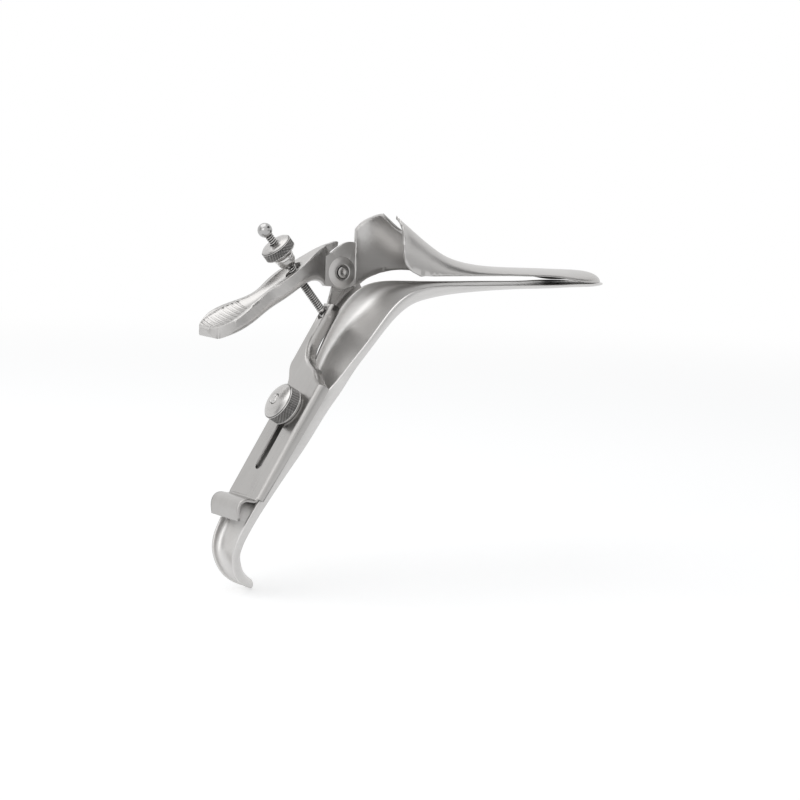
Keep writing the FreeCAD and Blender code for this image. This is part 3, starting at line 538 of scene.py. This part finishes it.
def turned(name: str, axis: Axis, corners: Sequence[tuple[float, float]], columns: int = 96,
           rounding: float = 0.12, step: float = 1.0, knurl: Knurl | None = None) -> bpy.types.Object:
    """Turns a closed outline about an axis, with a knurl cut into its widest band.

    Args:
        name: The object's name.
        axis: The turning axis.
        corners: The outline, in millimetres, all the way round; a bored piece's outline starts at its bore.
        columns: Points round the axis.
        rounding: How far from each corner its easing starts, in millimetres.
        step: The longest step along the outline, in millimetres.
        knurl: The knurl, if there is one.

    Returns:
        The object.
    """
    outline = profile(corners, rounding, step)
    angle = np.arange(columns) * (2.0 * np.pi / columns)
    radius = np.repeat(outline[:, :1], columns, axis=1)
    height = np.repeat(outline[:, 1:], columns, axis=1)
    if knurl is not None:
        widest = radius.max()
        on_band = radius > widest - 0.02 * MM
        radius = radius - np.where(on_band, knurl.cut(height, angle[None, :], widest), 0.0)
    points = axis.place(np.maximum(radius, 0.0), height, angle[None, :])
    return solid_mesh(name, points, [grid_faces(len(outline), columns, True)])


def dress(piece: bpy.types.Object, body: str, slot: str, finish: Steel, *nodes: str) -> bpy.types.Object:
    """Gives a new piece its material and body, and lets it stand for CAD nodes.

    Args:
        piece: The new piece.
        body: The body that it moves with.
        slot: The record's slot; not used.
        finish: Its finish.
        nodes: The CAD nodes that it replaces.

    Returns:
        The piece.
    """
    piece.data.materials.clear()
    piece.data.materials.append(finish.material())
    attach(piece, body)
    if nodes:
        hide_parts(*nodes)
    LOG.info("%s: %d faces on %s", piece.name, len(piece.data.polygons), body)
    return piece


# ---------------------------------------------------------------- sub-assemblies

@dataclass
class FormedSheets:
    """The three formed pieces whose solids carry over from the CAD model."""

    crease: float = 42.0
    weld: float = 0.002 * MM

    def finishes(self) -> dict[str, Steel]:
        """Each formed node's finish, brushed the way that the piece was drawn and polished."""
        return {
            "upper_valve": Steel("satin_upper_valve", Stroke.BLADE, shade=0.52, roughness=0.34, clouds=0.05,
                                 edge_wear_and_highlight=0.35),
            # The yoke gets a strong painted highlight along its bends and painted shade in its gaps.
            "yoke": Steel("satin_yoke", Stroke.HANDLE, shade=0.44, roughness=0.29, edge_round=0.45 * MM,
                          edge_wear_and_highlight=0.9, crevice=1.4 * MM, crevice_painted_shade=0.16),
            "thumb_lever": Steel("satin_thumb_lever", Stroke.LEVER, shade=0.50, roughness=0.38,
                                 edge_round=0.30 * MM, edge_wear_and_highlight=0.6, crevice=0.5 * MM),
        }

    def smooth_copy(self, node: str, body: str) -> bpy.types.Object:
        """Copies a node's loose triangles, welds them, and shades them smooth with creases.

        Args:
            node: The CAD node.
            body: Its body.

        Returns:
            The copy, which stands for the node.
        """
        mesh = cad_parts[node].data.copy()
        mesh.name = node + "_skin"
        work = bmesh.new()
        work.from_mesh(mesh)
        bmesh.ops.remove_doubles(work, verts=work.verts, dist=self.weld)
        work.to_mesh(mesh)
        work.free()
        mesh.shade_smooth()
        mesh.set_sharp_from_angle(angle=math.radians(self.crease))
        made = bpy.data.objects.new(node + "_skin", mesh)
        bpy.context.scene.collection.objects.link(made)
        shading = made.modifiers.new("even_shading", "WEIGHTED_NORMAL")
        shading.mode = "FACE_AREA_WITH_ANGLE"
        shading.keep_sharp = True
        return dress(made, body, node, self.finishes()[node], node)

    def build(self) -> None:
        """Dresses the three formed pieces."""
        for node, body in (("upper_valve", "valve"), ("yoke", "yoke"), ("thumb_lever", "valve")):
            self.smooth_copy(node, body)


@dataclass
class LowerValve:
    """The lower blade, throat, channelled handle and curled tail, one sheet bent through its sections."""

    wall: float = 1.4
    lip: float = 0.35
    blade_half_width: float = 15.5
    blade_rim: float = -3.85
    blade_tip: float = 123.5
    handle_half_width: float = 11.3
    handle_rim: float = -2.4
    spacing: float = 0.9
    arch_points: int = 44
    calm_reach: float = 4.0
    calm_from: tuple[float, float] = (35.0, 20.0)
    calm_until: tuple[float, float] = (38.0, 12.0)
    end_bevel: float = 0.78

    def stations(self) -> np.ndarray:
        """The sections' table.

        Returns:
            One row a section: the near rim's x and z, the slope of the section's depth below +X in
            degrees, half width, depth, squareness, and the far rim's rise, in millimetres.
        """
        rim, half, grip = self.blade_rim, self.blade_half_width, self.handle_half_width
        tip = [(self.blade_tip - back, rim + 0.35 * share, 90.0, half * share, deep, 2.0, 0.0)
               for back, share, deep in ((0.0, 0.20, 1.65), (2.0, 0.47, 1.75), (5.0, 0.72, 1.9),
                                         (9.0, 0.90, 2.2), (14.0, 0.985, 2.3), (21.0, 1.0, 2.4))]
        blade = [(92.0, rim, 90.0, half, 2.4, 2.0, 0.0), (70.0, rim, 90.0, half, 2.8, 2.0, 0.0),
                 (53.0, rim, 90.0, half, 3.7, 2.0, 0.0)]
        throat = [
            (38.0, rim, 88.0, 15.6, 5.0, 2.1, 0.1), (28.0, rim - 0.1, 82.0, 15.9, 6.5, 2.2, 0.4),
            (19.5, rim - 1.0, 72.0, 16.3, 7.4, 2.4, 1.3), (12.0, rim - 3.6, 58.0, 16.6, 7.8, 2.6, 2.6),
            (5.4, rim - 8.6, 48.0, 16.6, 7.4, 2.8, 3.2), (-0.8, rim - 15.8, 41.0, 16.6, 6.2, 3.0, 2.8),
            (-7.6, rim - 24.4, 37.0, 16.0, 5.6, 3.4, 1.4), (-14.6, rim - 33.2, 34.5, 14.2, 5.6, 3.8, 0.0),
        ]
        down = np.array([-math.cos(HANDLE_ANGLE), -math.sin(HANDLE_ANGLE)])
        out = np.array([-math.sin(HANDLE_ANGLE), math.cos(HANDLE_ANGLE)])
        upright = 90.0 - math.degrees(HANDLE_ANGLE)
        handle = [(*(down * along + out * (self.handle_rim - sunk)), upright, grip + wide, deep, 4.4, 0.0)
                  for along, sunk, wide, deep in (
                      (49.0, 4.6, 0.2, 6.6), (56.5, 2.0, 0.0, 8.3), (64.5, 0.0, 0.0, 10.0),
                      (75.5, 0.0, 0.0, 9.4), (89.5, 0.0, 0.0, 7.6), (103.5, 0.0, 0.0, 6.0),
                      (108.5, 0.0, 0.0, 5.5))]
        curl = np.array([
            (-60.6, -102.6, grip - 0.4, 5.6, 3.6), (-63.2, -108.4, grip - 0.9, 5.6, 3.2),
            (-64.1, -113.8, grip - 1.7, 5.6, 2.8), (-63.0, -119.6, grip - 3.1, 6.1, 2.5),
            (-59.8, -124.8, grip - 4.7, 5.8, 2.2), (-55.0, -128.0, grip - 6.6, 4.6, 2.0),
            (-50.8, -129.4, grip - 8.9, 3.3, 2.0),
        ])
        heading = np.concatenate([curl[1:2] - curl[:1], curl[2:] - curl[:-2], curl[-1:] - curl[-2:-1]])
        slope = np.degrees(np.arctan2(-heading[:, 0], -heading[:, 1]))
        tail = np.column_stack([curl[:, :2], slope, curl[:, 2:], np.zeros(len(curl))])
        return np.concatenate([tip, blade, throat, handle, tail])

    def evened(self) -> np.ndarray:
        """The table read at even steps along the valve, on a smooth curve through its rows.

        Formula: a cubic between each two rows, whose slope at a row is the mean of the slopes on both
        sides of it, each weighted by the other's length. A bell-weighted mean over a few millimetres
        then calms it, fully between the blade and the tail and not at all at the two ends.

        Returns:
            The rows, in the table's columns.
        """
        table = self.stations()
        runs = np.linalg.norm(np.diff(table[:, :2], axis=0), axis=1)
        place = np.concatenate([[0.0], np.cumsum(runs)])
        steps = np.diff(table, axis=0) / runs[:, None]
        inner = (steps[:-1] * runs[1:, None] + steps[1:] * runs[:-1, None]) / (runs[1:] + runs[:-1])[:, None]
        slopes = np.concatenate([steps[:1], inner, steps[-1:]])
        at = np.linspace(0.0, place[-1], int(place[-1] / self.spacing))
        cell = np.clip(np.searchsorted(place, at, side="right") - 1, 0, len(runs) - 1)
        reach = runs[cell][:, None]
        t = (at - place[cell])[:, None] / reach
        rows = ((1 + 2 * t) * (1 - t) ** 2 * table[cell] + t ** 2 * (3 - 2 * t) * table[cell + 1]
                + reach * (t * (1 - t) ** 2 * slopes[cell] + t ** 2 * (t - 1) * slopes[cell + 1]))
        span = np.abs(at[:, None] - at[None, :])
        bell = np.exp(-0.5 * (span / self.calm_reach) ** 2)
        calmed = bell @ rows / bell.sum(axis=1, keepdims=True)
        (start, rise), (end, fall) = self.calm_from, self.calm_until
        share = np.clip((at - start) / rise, 0.0, 1.0) * np.clip((place[-1] - end - at) / fall, 0.0, 1.0)
        return rows + (calmed - rows) * share[:, None]

    def sheet(self) -> bpy.types.Object:
        """The valve's sheet.

        Formula: across a section, the width goes with the cosine and the depth with the sine of an angle
        over half a turn, each raised to two over the squareness. The outer arch comes back as the inner
        one, a wall nearer in, and half-round lips join the two. Both ends shrink to a bevelled cap.

        Returns:
            The valve.
        """
        x, z, slope, half, deep, square, rise = (column[:, None] for column in self.evened().T)
        angle = np.linspace(0.0, np.pi, self.arch_points)[None, :]
        out = -np.sign(np.cos(angle)) * np.abs(np.cos(angle)) ** (2.0 / square)
        up = np.maximum(np.sin(angle), 0.0) ** (2.0 / square)
        up[:, [0, -1]] = 0.0
        foot = -rise * (out + 1.0) / 2.0 + self.lip
        round_lip = np.linspace(0.0, np.pi, 7)[None, 1:-1]
        step_in = self.wall * (1.0 - np.cos(round_lip)) / 2.0
        dip = self.lip * (1.0 - np.sin(round_lip))
        width = np.concatenate([half * out, half - step_in, ((half - self.wall) * out)[:, ::-1],
                                -(half - step_in)[:, ::-1]], axis=1)
        depth = np.concatenate([foot + (deep - foot) * up, dip - rise,
                                (foot + (deep - self.wall - foot) * up)[:, ::-1],
                                np.broadcast_to(dip[:, ::-1], (len(x), dip.shape[1]))], axis=1)
        lean = np.radians(slope)
        points = np.stack([x + depth * np.cos(lean), width, z - depth * np.sin(lean)], axis=-1) * MM
        middles = points[[0, -1]].mean(axis=1, keepdims=True)
        caps = middles + (points[[0, -1]] - middles) * self.end_bevel
        hubs = np.repeat(middles, points.shape[1], axis=1)
        grid = np.concatenate([hubs[:1], caps[:1], points[1:-1], caps[1:], hubs[1:]])
        faces = grid_faces(len(grid), grid.shape[1], False)
        return solid_mesh("lower_valve_sheet", grid, [faces], crease=50.0)

    def build(self) -> None:
        """Builds and dresses the valve."""
        # Painted shade darkens the gaps along the yoke's flanges.
        finish = Steel("satin_lower_valve", Stroke.BLADE, shade=0.63, roughness=0.38, clouds=0.05,
                       crevice=1.4 * MM, crevice_painted_shade=0.16)
        dress(self.sheet(), "handle", "lower_valve", finish, "lower_valve")


@dataclass
class PivotJoint:
    """The screw that both ears turn on, the ear's swelling round it, and the nut and pin on the far side."""

    axis: Axis = Axis((0.0, 15.8 * MM, 0.0), (0.0, 1.0, 0.0))
    head_radius: float = 3.2
    head_height: float = 1.1
    shank_radius: float = 2.0
    shank_end: float = 6.5
    boss: Axis = Axis((0.0, 17.05 * MM, 0.0), (0.0, -1.0, 0.0))
    boss_radii: tuple[float, float] = (3.3, 7.1)
    boss_height: float = 0.62

    def screw(self) -> bpy.types.Object:
        """The screw: a low domed and dimpled head in its ring recess, on a plain shank."""
        corners = [
            (0.0, 0.50), (0.55, 0.42), (0.95, 0.14), (1.35, 0.04), (1.95, 0.06), (2.35, 0.26), (2.45, 0.50),
            (2.45, 0.98), (2.88, 0.98), (2.95, 0.58), (self.head_radius, 0.66),
            (self.head_radius, self.head_height),
            (self.shank_radius, self.head_height), (self.shank_radius, self.shank_end), (0.0, self.shank_end),
        ]
        piece = turned("pivot_screw_turned", self.axis, corners, columns=72, rounding=0.14)
        # The groove band paints a dark ring of shade round the head in its recess.
        finish = Steel("polished_screw", Stroke.CROSS, shade=0.42, roughness=0.26, clouds=0.10,
                       turned_on=self.axis, groove=(2.44 * MM, 3.02 * MM), groove_painted_shade=0.08)
        return dress(piece, "yoke", "pivot_screw", finish, "pivot_screw")

    def swelling(self) -> bpy.types.Object:
        """The ear's low swelling round the screw's recess.

        Its height falls with the square of one less the square of the share of the way out.

        Returns:
            The swelling.
        """
        low, high = self.boss_radii
        share = np.linspace(0.97, 0.08, 14)
        dome = np.stack([low + (high - low) * share, self.boss_height * (1.0 - share ** 2) ** 2], axis=-1)
        corners = [(low, 0.0), (high, 0.0), *map(tuple, dome), (low, self.boss_height - 0.15)]
        piece = turned("ear_swelling", self.boss, corners, columns=80, rounding=0.08)
        finish = Steel("satin_ear", Stroke.BLADE, shade=0.52, roughness=0.34, clouds=0.05)
        return dress(piece, "valve", "upper_valve", finish)

    def build(self) -> None:
        """Builds the screw and the swelling round it, and dresses the nut and the rod's pin."""
        self.screw()
        self.swelling()
        satin = Steel("satin_fasteners", Stroke.CROSS, shade=0.52, roughness=0.26).material()
        for node in ("pivot_nut", "rod_pin"):
            carry_over(node, satin)


@dataclass
class OpeningScrew:
    """The tilting threaded rod with its ball end, and the nut, collar and saddle that run on it."""

    axis: Axis = Axis((-8.3294 * MM, 16.0 * MM, -18.3679 * MM), tuple(ROD))
    crest: float = 1.85
    root: float = 1.42
    pitch: float = 1.0
    thread_start: float = 3.4
    rod_end: float = 45.1
    eye_radius: float = 2.1
    eye_half_width: float = 1.6
    eye_bore: float = 0.85
    ball_radius: float = 3.1
    ball_centre: float = 47.0
    nut_base: float = 34.8
    nut_radius: float = 7.0
    knurl_depth: float = 0.40
    bore: float = 1.9

    def rod(self) -> bpy.types.Object:
        """The rod: an eye on the pin, a short plain neck and a single-start thread up to the ball.

        The thread's radius is the crest's less the depth times a triangle wave of the height over the
        pitch less the angle over a full turn, eased in over the first turn.

        Returns:
            The rod.
        """
        columns, per_pitch = 28, 8
        rows = int((self.rod_end - self.thread_start) / self.pitch * per_pitch)
        height = np.concatenate([[1.2, 1.2, 2.0, 2.9], np.linspace(self.thread_start, self.rod_end, rows),
                                 [self.rod_end]])
        base = np.concatenate([[0.0, 1.3, 1.5, 1.6], np.full(rows, self.crest), [0.0]])
        angle = np.arange(columns) * (2.0 * np.pi / columns)
        phase = (height[:, None] / self.pitch - angle[None, :] / (2.0 * np.pi)) % 1.0
        wave = np.abs(2.0 * phase - 1.0)
        eased = np.clip((height - self.thread_start) / self.pitch, 0.0, 1.0)
        eased[-1] = 0.0
        flank = np.clip(1.25 * wave - 0.1, 0.0, 1.0)
        radius = base[:, None] - (self.crest - self.root) * flank * eased[:, None]
        shank = self.axis.place(radius * MM, height[:, None] * MM, angle[None, :]).reshape(-1, 3)
        shank_faces = grid_faces(len(height), columns, False)
        eye_axis = Axis(self.axis.origin, (0.0, 1.0, 0.0))
        half = self.eye_half_width
        ring = profile([(self.eye_bore, -half), (self.eye_radius, -half), (self.eye_radius, half),
                        (self.eye_bore, half)], 0.25, 0.8)
        turn = np.arange(40) * (2.0 * np.pi / 40)
        eye = eye_axis.place(ring[:, :1], ring[:, 1:], turn[None, :]).reshape(-1, 3)
        eye_faces = grid_faces(len(ring), 40, True) + len(shank)
        piece = solid_mesh("threaded_rod_cut", np.concatenate([shank, eye]), [shank_faces, eye_faces],
                           crease=50.0)
        # Thread roots are painted darker as painted shade.
        finish = Steel("threaded_steel", Stroke.ROD, shade=0.52, roughness=0.24, clouds=0.09,
                       turned_on=self.axis, groove=(self.root * MM, self.crest * MM), groove_painted_shade=0.12,
                       edge_round=0.06 * MM)
        return dress(piece, "rod", "threaded_rod", finish, "threaded_rod")

    def ball(self) -> bpy.types.Object:
        """The polished ball, socketed on the rod's end."""
        low = -math.acos(self.crest / self.ball_radius)
        swing = np.linspace(low, math.pi / 2, 28)
        arc = np.stack([self.ball_radius * np.cos(swing), self.ball_radius * np.sin(swing)], axis=-1)
        corners = [*map(tuple, arc), (0.0, -1.2), (self.crest, -1.2)]
        piece = turned("rod_ball_polished", self.axis.moved(self.ball_centre * MM), corners, columns=64,
                       rounding=0.05)
        finish = Steel("bright_ball", Stroke.CROSS, shade=0.42, warmth=0.004, roughness=0.20, grain=0.02,
                       clouds=0.05, scratches=0.2, turned_on=self.axis)
        return dress(piece, "rod", "rod_ball", finish, "rod_ball")

    def nut(self) -> bpy.types.Object:
        """The stop nut: a band with a fine diamond knurl, a broad chamfer and a flat top."""
        corners = [(self.bore, 0.0), (6.6, 0.0), (self.nut_radius, 0.4), (self.nut_radius, 3.9), (5.9, 4.875),
                   (4.0, 5.4), (2.3, 5.4), (self.bore, 5.1)]
        knurl = Knurl(teeth=46, depth=self.knurl_depth * MM, low=0.42 * MM, high=3.88 * MM)
        piece = turned("lever_nut_knurled", self.axis.moved(self.nut_base * MM), corners, columns=420,
                       rounding=0.14, step=0.13, knurl=knurl)
        # Knurl grooves are painted darker as painted shade.
        finish = Steel("knurled_nut_steel", Stroke.CROSS, shade=0.50, roughness=0.30, groove_painted_shade=0.16,
                       turned_on=self.axis,
                       groove=((self.nut_radius - self.knurl_depth) * MM, self.nut_radius * MM),
                       edge_round=0.06 * MM)
        return dress(piece, "nut", "lever_nut", finish, "lever_nut")

    def collar(self) -> bpy.types.Object:
        """The polished flanged collar below the nut."""
        corners = [(self.bore, 0.0), (4.1, 0.0), (4.4, 0.3), (4.4, 1.2), (3.9, 1.55), (3.5, 1.8), (3.5, 3.0),
                   (self.bore, 3.0)]
        piece = turned("nut_collar_turned", self.axis.moved((self.nut_base - 3.0) * MM), corners, columns=96,
                       rounding=0.15)
        finish = Steel("bright_collar", Stroke.CROSS, shade=0.64, roughness=0.12, grain=0.03, clouds=0.06,
                       turned_on=self.axis)
        return dress(piece, "collar", "nut_collar", finish, "nut_collar")

    def saddle(self) -> bpy.types.Object:
        """The tapered saddle that seats in the lever's slot."""
        corners = [(self.bore, 0.0), (2.45, 0.0), (3.2, 1.0), (4.0, 2.4), (4.0, 4.0), (self.bore, 4.0)]
        piece = turned("slot_saddle_turned", self.axis.moved((self.nut_base - 7.0) * MM), corners, columns=96,
                       rounding=0.2)
        finish = Steel("satin_saddle", Stroke.CROSS, shade=0.44, roughness=0.20, turned_on=self.axis)
        return dress(piece, "collar", "slot_saddle", finish, "slot_saddle")

    def build(self) -> None:
        """Builds the five pieces."""
        self.rod()
        self.ball()
        self.nut()
        self.collar()
        self.saddle()


@dataclass
class YokeLock:
    """The domed knurled knob that clamps the yoke, on the stud that is riveted in the handle."""

    stud_down: float = 65.0
    knob_base: float = 0.5
    knob_radius: float = 8.3
    knurl_depth: float = 0.42
    band: float = 5.8
    dome: float = 2.2
    bore: float = 2.35
    stud_floor: float = -10.973
    stud_radius: float = 2.25

    def axis(self, height: float) -> Axis:
        """The knob's axis, started at a height out from the handle's line.

        Args:
            height: The start's height, in millimetres.

        Returns:
            The axis.
        """
        down = np.array([-math.cos(HANDLE_ANGLE), 0.0, -math.sin(HANDLE_ANGLE)])
        start = (down * self.stud_down + FACE * height) * MM
        return Axis(tuple(start), tuple(FACE))

    def knob(self) -> bpy.types.Object:
        """The knob: a knurled band with a polished lower edge, under a shallow dome with a sunk centre.

        The dome's height falls with the fourth-fifths power of one less the squared share of the radius.

        Returns:
            The knob.
        """
        share = np.linspace(0.985, 0.40, 14)
        edge = self.knob_radius - 0.35
        dome = np.stack([edge * share, self.band + self.dome * (1.0 - share ** 2) ** 0.8], axis=-1)
        crown = float(dome[-1, 1])
        corners = [(self.bore, 0.0), (7.5, 0.0), (self.knob_radius, 0.55),
                   (self.knob_radius, self.band - 0.35), (edge, self.band), *map(tuple, dome),
                   (2.75, crown + 0.02), (self.bore, crown - 0.35)]
        knurl = Knurl(teeth=56, depth=self.knurl_depth * MM, low=0.62 * MM, high=(self.band - 0.4) * MM)
        piece = turned("lock_knob_knurled", self.axis(self.knob_base), corners, columns=460, rounding=0.12,
                       step=0.16, knurl=knurl)
        start = self.axis(0.0)
        # Knurl grooves are painted darker as painted shade.
        finish = Steel("knurled_knob_steel", Stroke.CROSS, shade=0.52, roughness=0.26, clouds=0.09,
                       groove_painted_shade=0.16, turned_on=start,
                       groove=((self.knob_radius - self.knurl_depth) * MM, self.knob_radius * MM),
                       edge_round=0.06 * MM)
        return dress(piece, "knob", "lock_knob", finish, "lock_knob")

    def stud(self) -> bpy.types.Object:
        """The stud: a rivet head in the handle's channel, a plain shank and a rounded, dimpled end."""
        top = self.knob_base + self.band + self.dome + 0.4 - self.stud_floor
        corners = [(0.0, -1.4), (2.3, -1.4), (2.3, 0.0), (4.2, 0.0), (4.2, 0.8), (3.7, 1.2),
                   (self.stud_radius, 1.2),
                   (self.stud_radius, top - 0.95), (1.75, top - 0.2), (1.1, top), (0.6, top - 0.05),
                   (0.0, top - 0.4)]
        piece = turned("lock_stud_turned", self.axis(self.stud_floor), corners, columns=64, rounding=0.16)
        finish = Steel("bright_stud", Stroke.CROSS, shade=0.58, roughness=0.14, grain=0.03,
                       turned_on=self.axis(0.0))
        return dress(piece, "handle", "lock_stud", finish, "lock_stud")

    def build(self) -> None:
        """Builds the knob and the stud, and dresses the washer."""
        self.knob()
        self.stud()
        carry_over("lock_washer", Steel("satin_washer", Stroke.HANDLE, shade=0.50, roughness=0.25).material())


def carry_over(node: str, material: bpy.types.Material) -> None:
    """Gives a CAD node, whose mesh stays as it is, a new material.

    Args:
        node: The node.
        material: Its material.
    """
    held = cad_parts[node]
    for place in range(max(len(held.material_slots), 1)):
        if held.material_slots:
            held.material_slots[place].material = material
        else:
            held.data.materials.append(material)
    LOG.info("%s: carried over", node)


# ---------------------------------------------------------------- studio

@dataclass
class Studio:
    """The pale floor, the soft lamps, the dark flags that shape the metal's reflections, and the camera."""

    floor_level: float = cad_box[0][2] - 0.2 * MM
    target: tuple[float, float, float] = (0.020, 0.0, -0.045)
    azimuth: float = math.radians(-32.502)
    elevation: float = math.radians(5.676)
    roll: float = math.radians(1.561)
    distance: float = 0.912085
    lens: float = 96.0
    shift_y: float = -0.0255
    floor_glow: float = 0.46
    floor_fade: tuple[float, float] = (0.45, 1.6)
    card_fade: tuple[float, float] = (0.55, 1.0)

    def camera(self) -> bpy.types.Object:
        """The camera, at the photograph's angle, distance and framing."""
        toward = np.array([math.sin(self.azimuth) * math.cos(self.elevation),
                           -math.cos(self.azimuth) * math.cos(self.elevation), math.sin(self.elevation)])
        level = np.cross(-toward, (0.0, 0.0, 1.0))
        level = level / np.linalg.norm(level)
        upright = np.cross(level, -toward)
        right = level * math.cos(self.roll) + upright * math.sin(self.roll)
        upward = upright * math.cos(self.roll) - level * math.sin(self.roll)
        eye = np.asarray(self.target) + toward * self.distance
        lens = bpy.data.cameras.new("camera")
        lens.lens = self.lens
        lens.shift_y = self.shift_y
        lens.clip_start = 0.01
        lens.clip_end = 100.0
        made = bpy.data.objects.new("camera", lens)
        turn = Matrix(np.stack([right, upward, toward], axis=1).tolist()).to_4x4()
        made.matrix_world = Matrix.Translation(Vector(eye)) @ turn
        bpy.context.scene.collection.objects.link(made)
        bpy.context.scene.camera = made
        return made

    def seen(self, board: Board) -> Value:
        """1 on camera, glossy and transmission rays, 0 on the others."""
        rays = board.node("ShaderNodeLightPath")
        camera = Value(board, rays.outputs["Is Camera Ray"])
        glossy = Value(board, rays.outputs["Is Glossy Ray"])
        return camera.at_least(glossy).at_least(Value(board, rays.outputs["Is Transmission Ray"]))

    def plane(self, name: str, centre: Vector, toward: Vector, width: float,
              height: float) -> bpy.types.Object:
        """A rectangle that faces a point.

        Args:
            name: The object's name.
            centre: Its middle.
            toward: The point that it faces.
            width: Its width.
            height: Its height.

        Returns:
            The rectangle, marked as staging.
        """
        turn = (centre - toward).to_track_quat("Z", "Y").to_matrix().to_4x4()
        half = np.array([[-1, -1, 0], [1, -1, 0], [1, 1, 0], [-1, 1, 0]]) * (width / 2, height / 2, 1.0)
        mesh = bpy.data.meshes.new(name)
        mesh.from_pydata(half.tolist(), [], [(0, 1, 2, 3)])
        made = bpy.data.objects.new(name, mesh)
        made.matrix_world = Matrix.Translation(centre) @ turn
        bpy.context.scene.collection.objects.link(made)
        return made

    def floor(self) -> bpy.types.Object:
        """The floor: pale paper that takes the object's shadow and fades into the white backdrop."""
        made = self.plane("floor", Vector((0.0, 0.0, self.floor_level)), Vector((0.0, 0.0, -9.0)), 60.0, 60.0)
        paper = bpy.data.materials.new("pale_floor")
        paper.use_nodes = True
        board = Board(paper.node_tree)
        place = board.node("ShaderNodeTexCoord").outputs["Object"]
        reach = board.number("ShaderNodeVectorMath", "Value", {"operation": "LENGTH"}, {0: place})
        far = reach.step(*self.floor_fade)
        diffuse = board.node("ShaderNodeBsdfDiffuse", None, {"Color": (0.82, 0.82, 0.82, 1.0)})
        glow = board.node("ShaderNodeEmission", None, {
            "Color": (1.0, 1.0, 1.0, 1.0), "Strength": self.seen(board) * self.floor_glow})
        near = board.node("ShaderNodeAddShader", None, {0: diffuse.outputs[0], 1: glow.outputs[0]})
        white = board.node("ShaderNodeEmission", None, {"Color": (1.0, 1.0, 1.0, 1.0), "Strength": 1.0})
        blend = board.node("ShaderNodeMixShader", None, {0: far, 1: near.outputs[0], 2: white.outputs[0]})
        board.node("ShaderNodeOutputMaterial", None, {"Surface": blend.outputs[0]})
        made.data.materials.append(paper)
        return made

    def world(self) -> None:
        """White where it is seen or mirrored, and a softer pale grey where it only lights."""
        world = bpy.data.worlds.new("backdrop")
        world.use_nodes = True
        bpy.context.scene.world = world
        board = Board(world.node_tree)
        lit = board.node("ShaderNodeBackground", None, {"Color": (0.78, 0.79, 0.80, 1.0), "Strength": 0.55})
        shown = board.node("ShaderNodeBackground", None, {"Color": (1.0, 1.0, 1.0, 1.0), "Strength": 1.0})
        blend = board.node("ShaderNodeMixShader", None, {
            0: self.seen(board), 1: lit.outputs[0], 2: shown.outputs[0]})
        board.node("ShaderNodeOutputWorld", None, {"Surface": blend.outputs[0]})

    def lamp(self, name: str, centre: Sequence[float], size: tuple[float, float], power: float) -> None:
        """Hangs a soft rectangular lamp that faces the object.

        Args:
            name: The lamp's name.
            centre: Its middle.
            size: Its width and height.
            power: Its power in watts.
        """
        light = bpy.data.lights.new(name, "AREA")
        light.shape = "RECTANGLE"
        light.size, light.size_y = size
        light.energy = power
        made = bpy.data.objects.new(name, light)
        aim = Vector(self.target) - Vector(centre)
        turn = aim.to_track_quat("-Z", "Y").to_matrix().to_4x4()
        made.matrix_world = Matrix.Translation(Vector(centre)) @ turn
        bpy.context.scene.collection.objects.link(made)

    def flag(self, name: str, centre: Sequence[float], width: float, height: float, shade: float) -> None:
        """Stands a dark card, seen only in the metal, whose edges fade out.

        Args:
            name: The card's name.
            centre: Its middle.
            width: Its width.
            height: Its height.
            shade: Its grey.
        """
        card = self.plane(name, Vector(centre), Vector(self.target), width, height)
        card.visible_camera = False
        card.visible_shadow = False
        card.visible_diffuse = False
        cloth = bpy.data.materials.new(name + "_cloth")
        cloth.use_nodes = True
        board = Board(cloth.node_tree)
        place = board.node("ShaderNodeTexCoord").outputs["Object"]
        spread = board.node("ShaderNodeVectorMath", {"operation": "DIVIDE"}, {
            0: place, 1: (width / 2, height / 2, 1.0)})
        reach = board.number("ShaderNodeVectorMath", "Value", {"operation": "LENGTH"}, {0: spread.outputs[0]})
        clear = board.node("ShaderNodeBsdfTransparent")
        grey = board.node("ShaderNodeEmission", None, {"Color": (shade, shade, shade, 1.0), "Strength": 1.0})
        blend = board.node("ShaderNodeMixShader", None, {
            0: reach.step(*self.card_fade), 1: grey.outputs[0], 2: clear.outputs[0]})
        board.node("ShaderNodeOutputMaterial", None, {"Surface": blend.outputs[0]})
        card.data.materials.append(cloth)

    def build(self) -> None:
        """Builds the studio."""
        self.camera()
        self.floor()
        self.world()
        self.lamp("overhead_lamp", (-0.38, 0.26, 1.20), (1.5, 1.3), 6.5)
        self.lamp("side_lamp", (-1.30, -0.75, 0.50), (0.9, 0.9), 2.6)
        self.flag("high_flag", (0.78, -0.72, 1.00), 1.8, 1.0, 0.06)
        self.flag("front_flag", (0.80, -1.30, -0.05), 1.5, 1.0, 0.42)
        self.flag("left_flag", (-1.10, 0.35, 0.20), 0.35, 1.2, 0.30)
        settings = bpy.context.scene.view_settings
        settings.view_transform = "Standard"


def main() -> None:
    """Builds the object's pieces and the studio in order."""
    logging.basicConfig(level=logging.INFO, format="%(name)s: %(message)s")
    for part in (LowerValve(), FormedSheets(), PivotJoint(), OpeningScrew(), YokeLock(), Studio()):
        part.build()
        LOG.info("%s built", type(part).__name__)


if __name__ == "__main__":
    main()
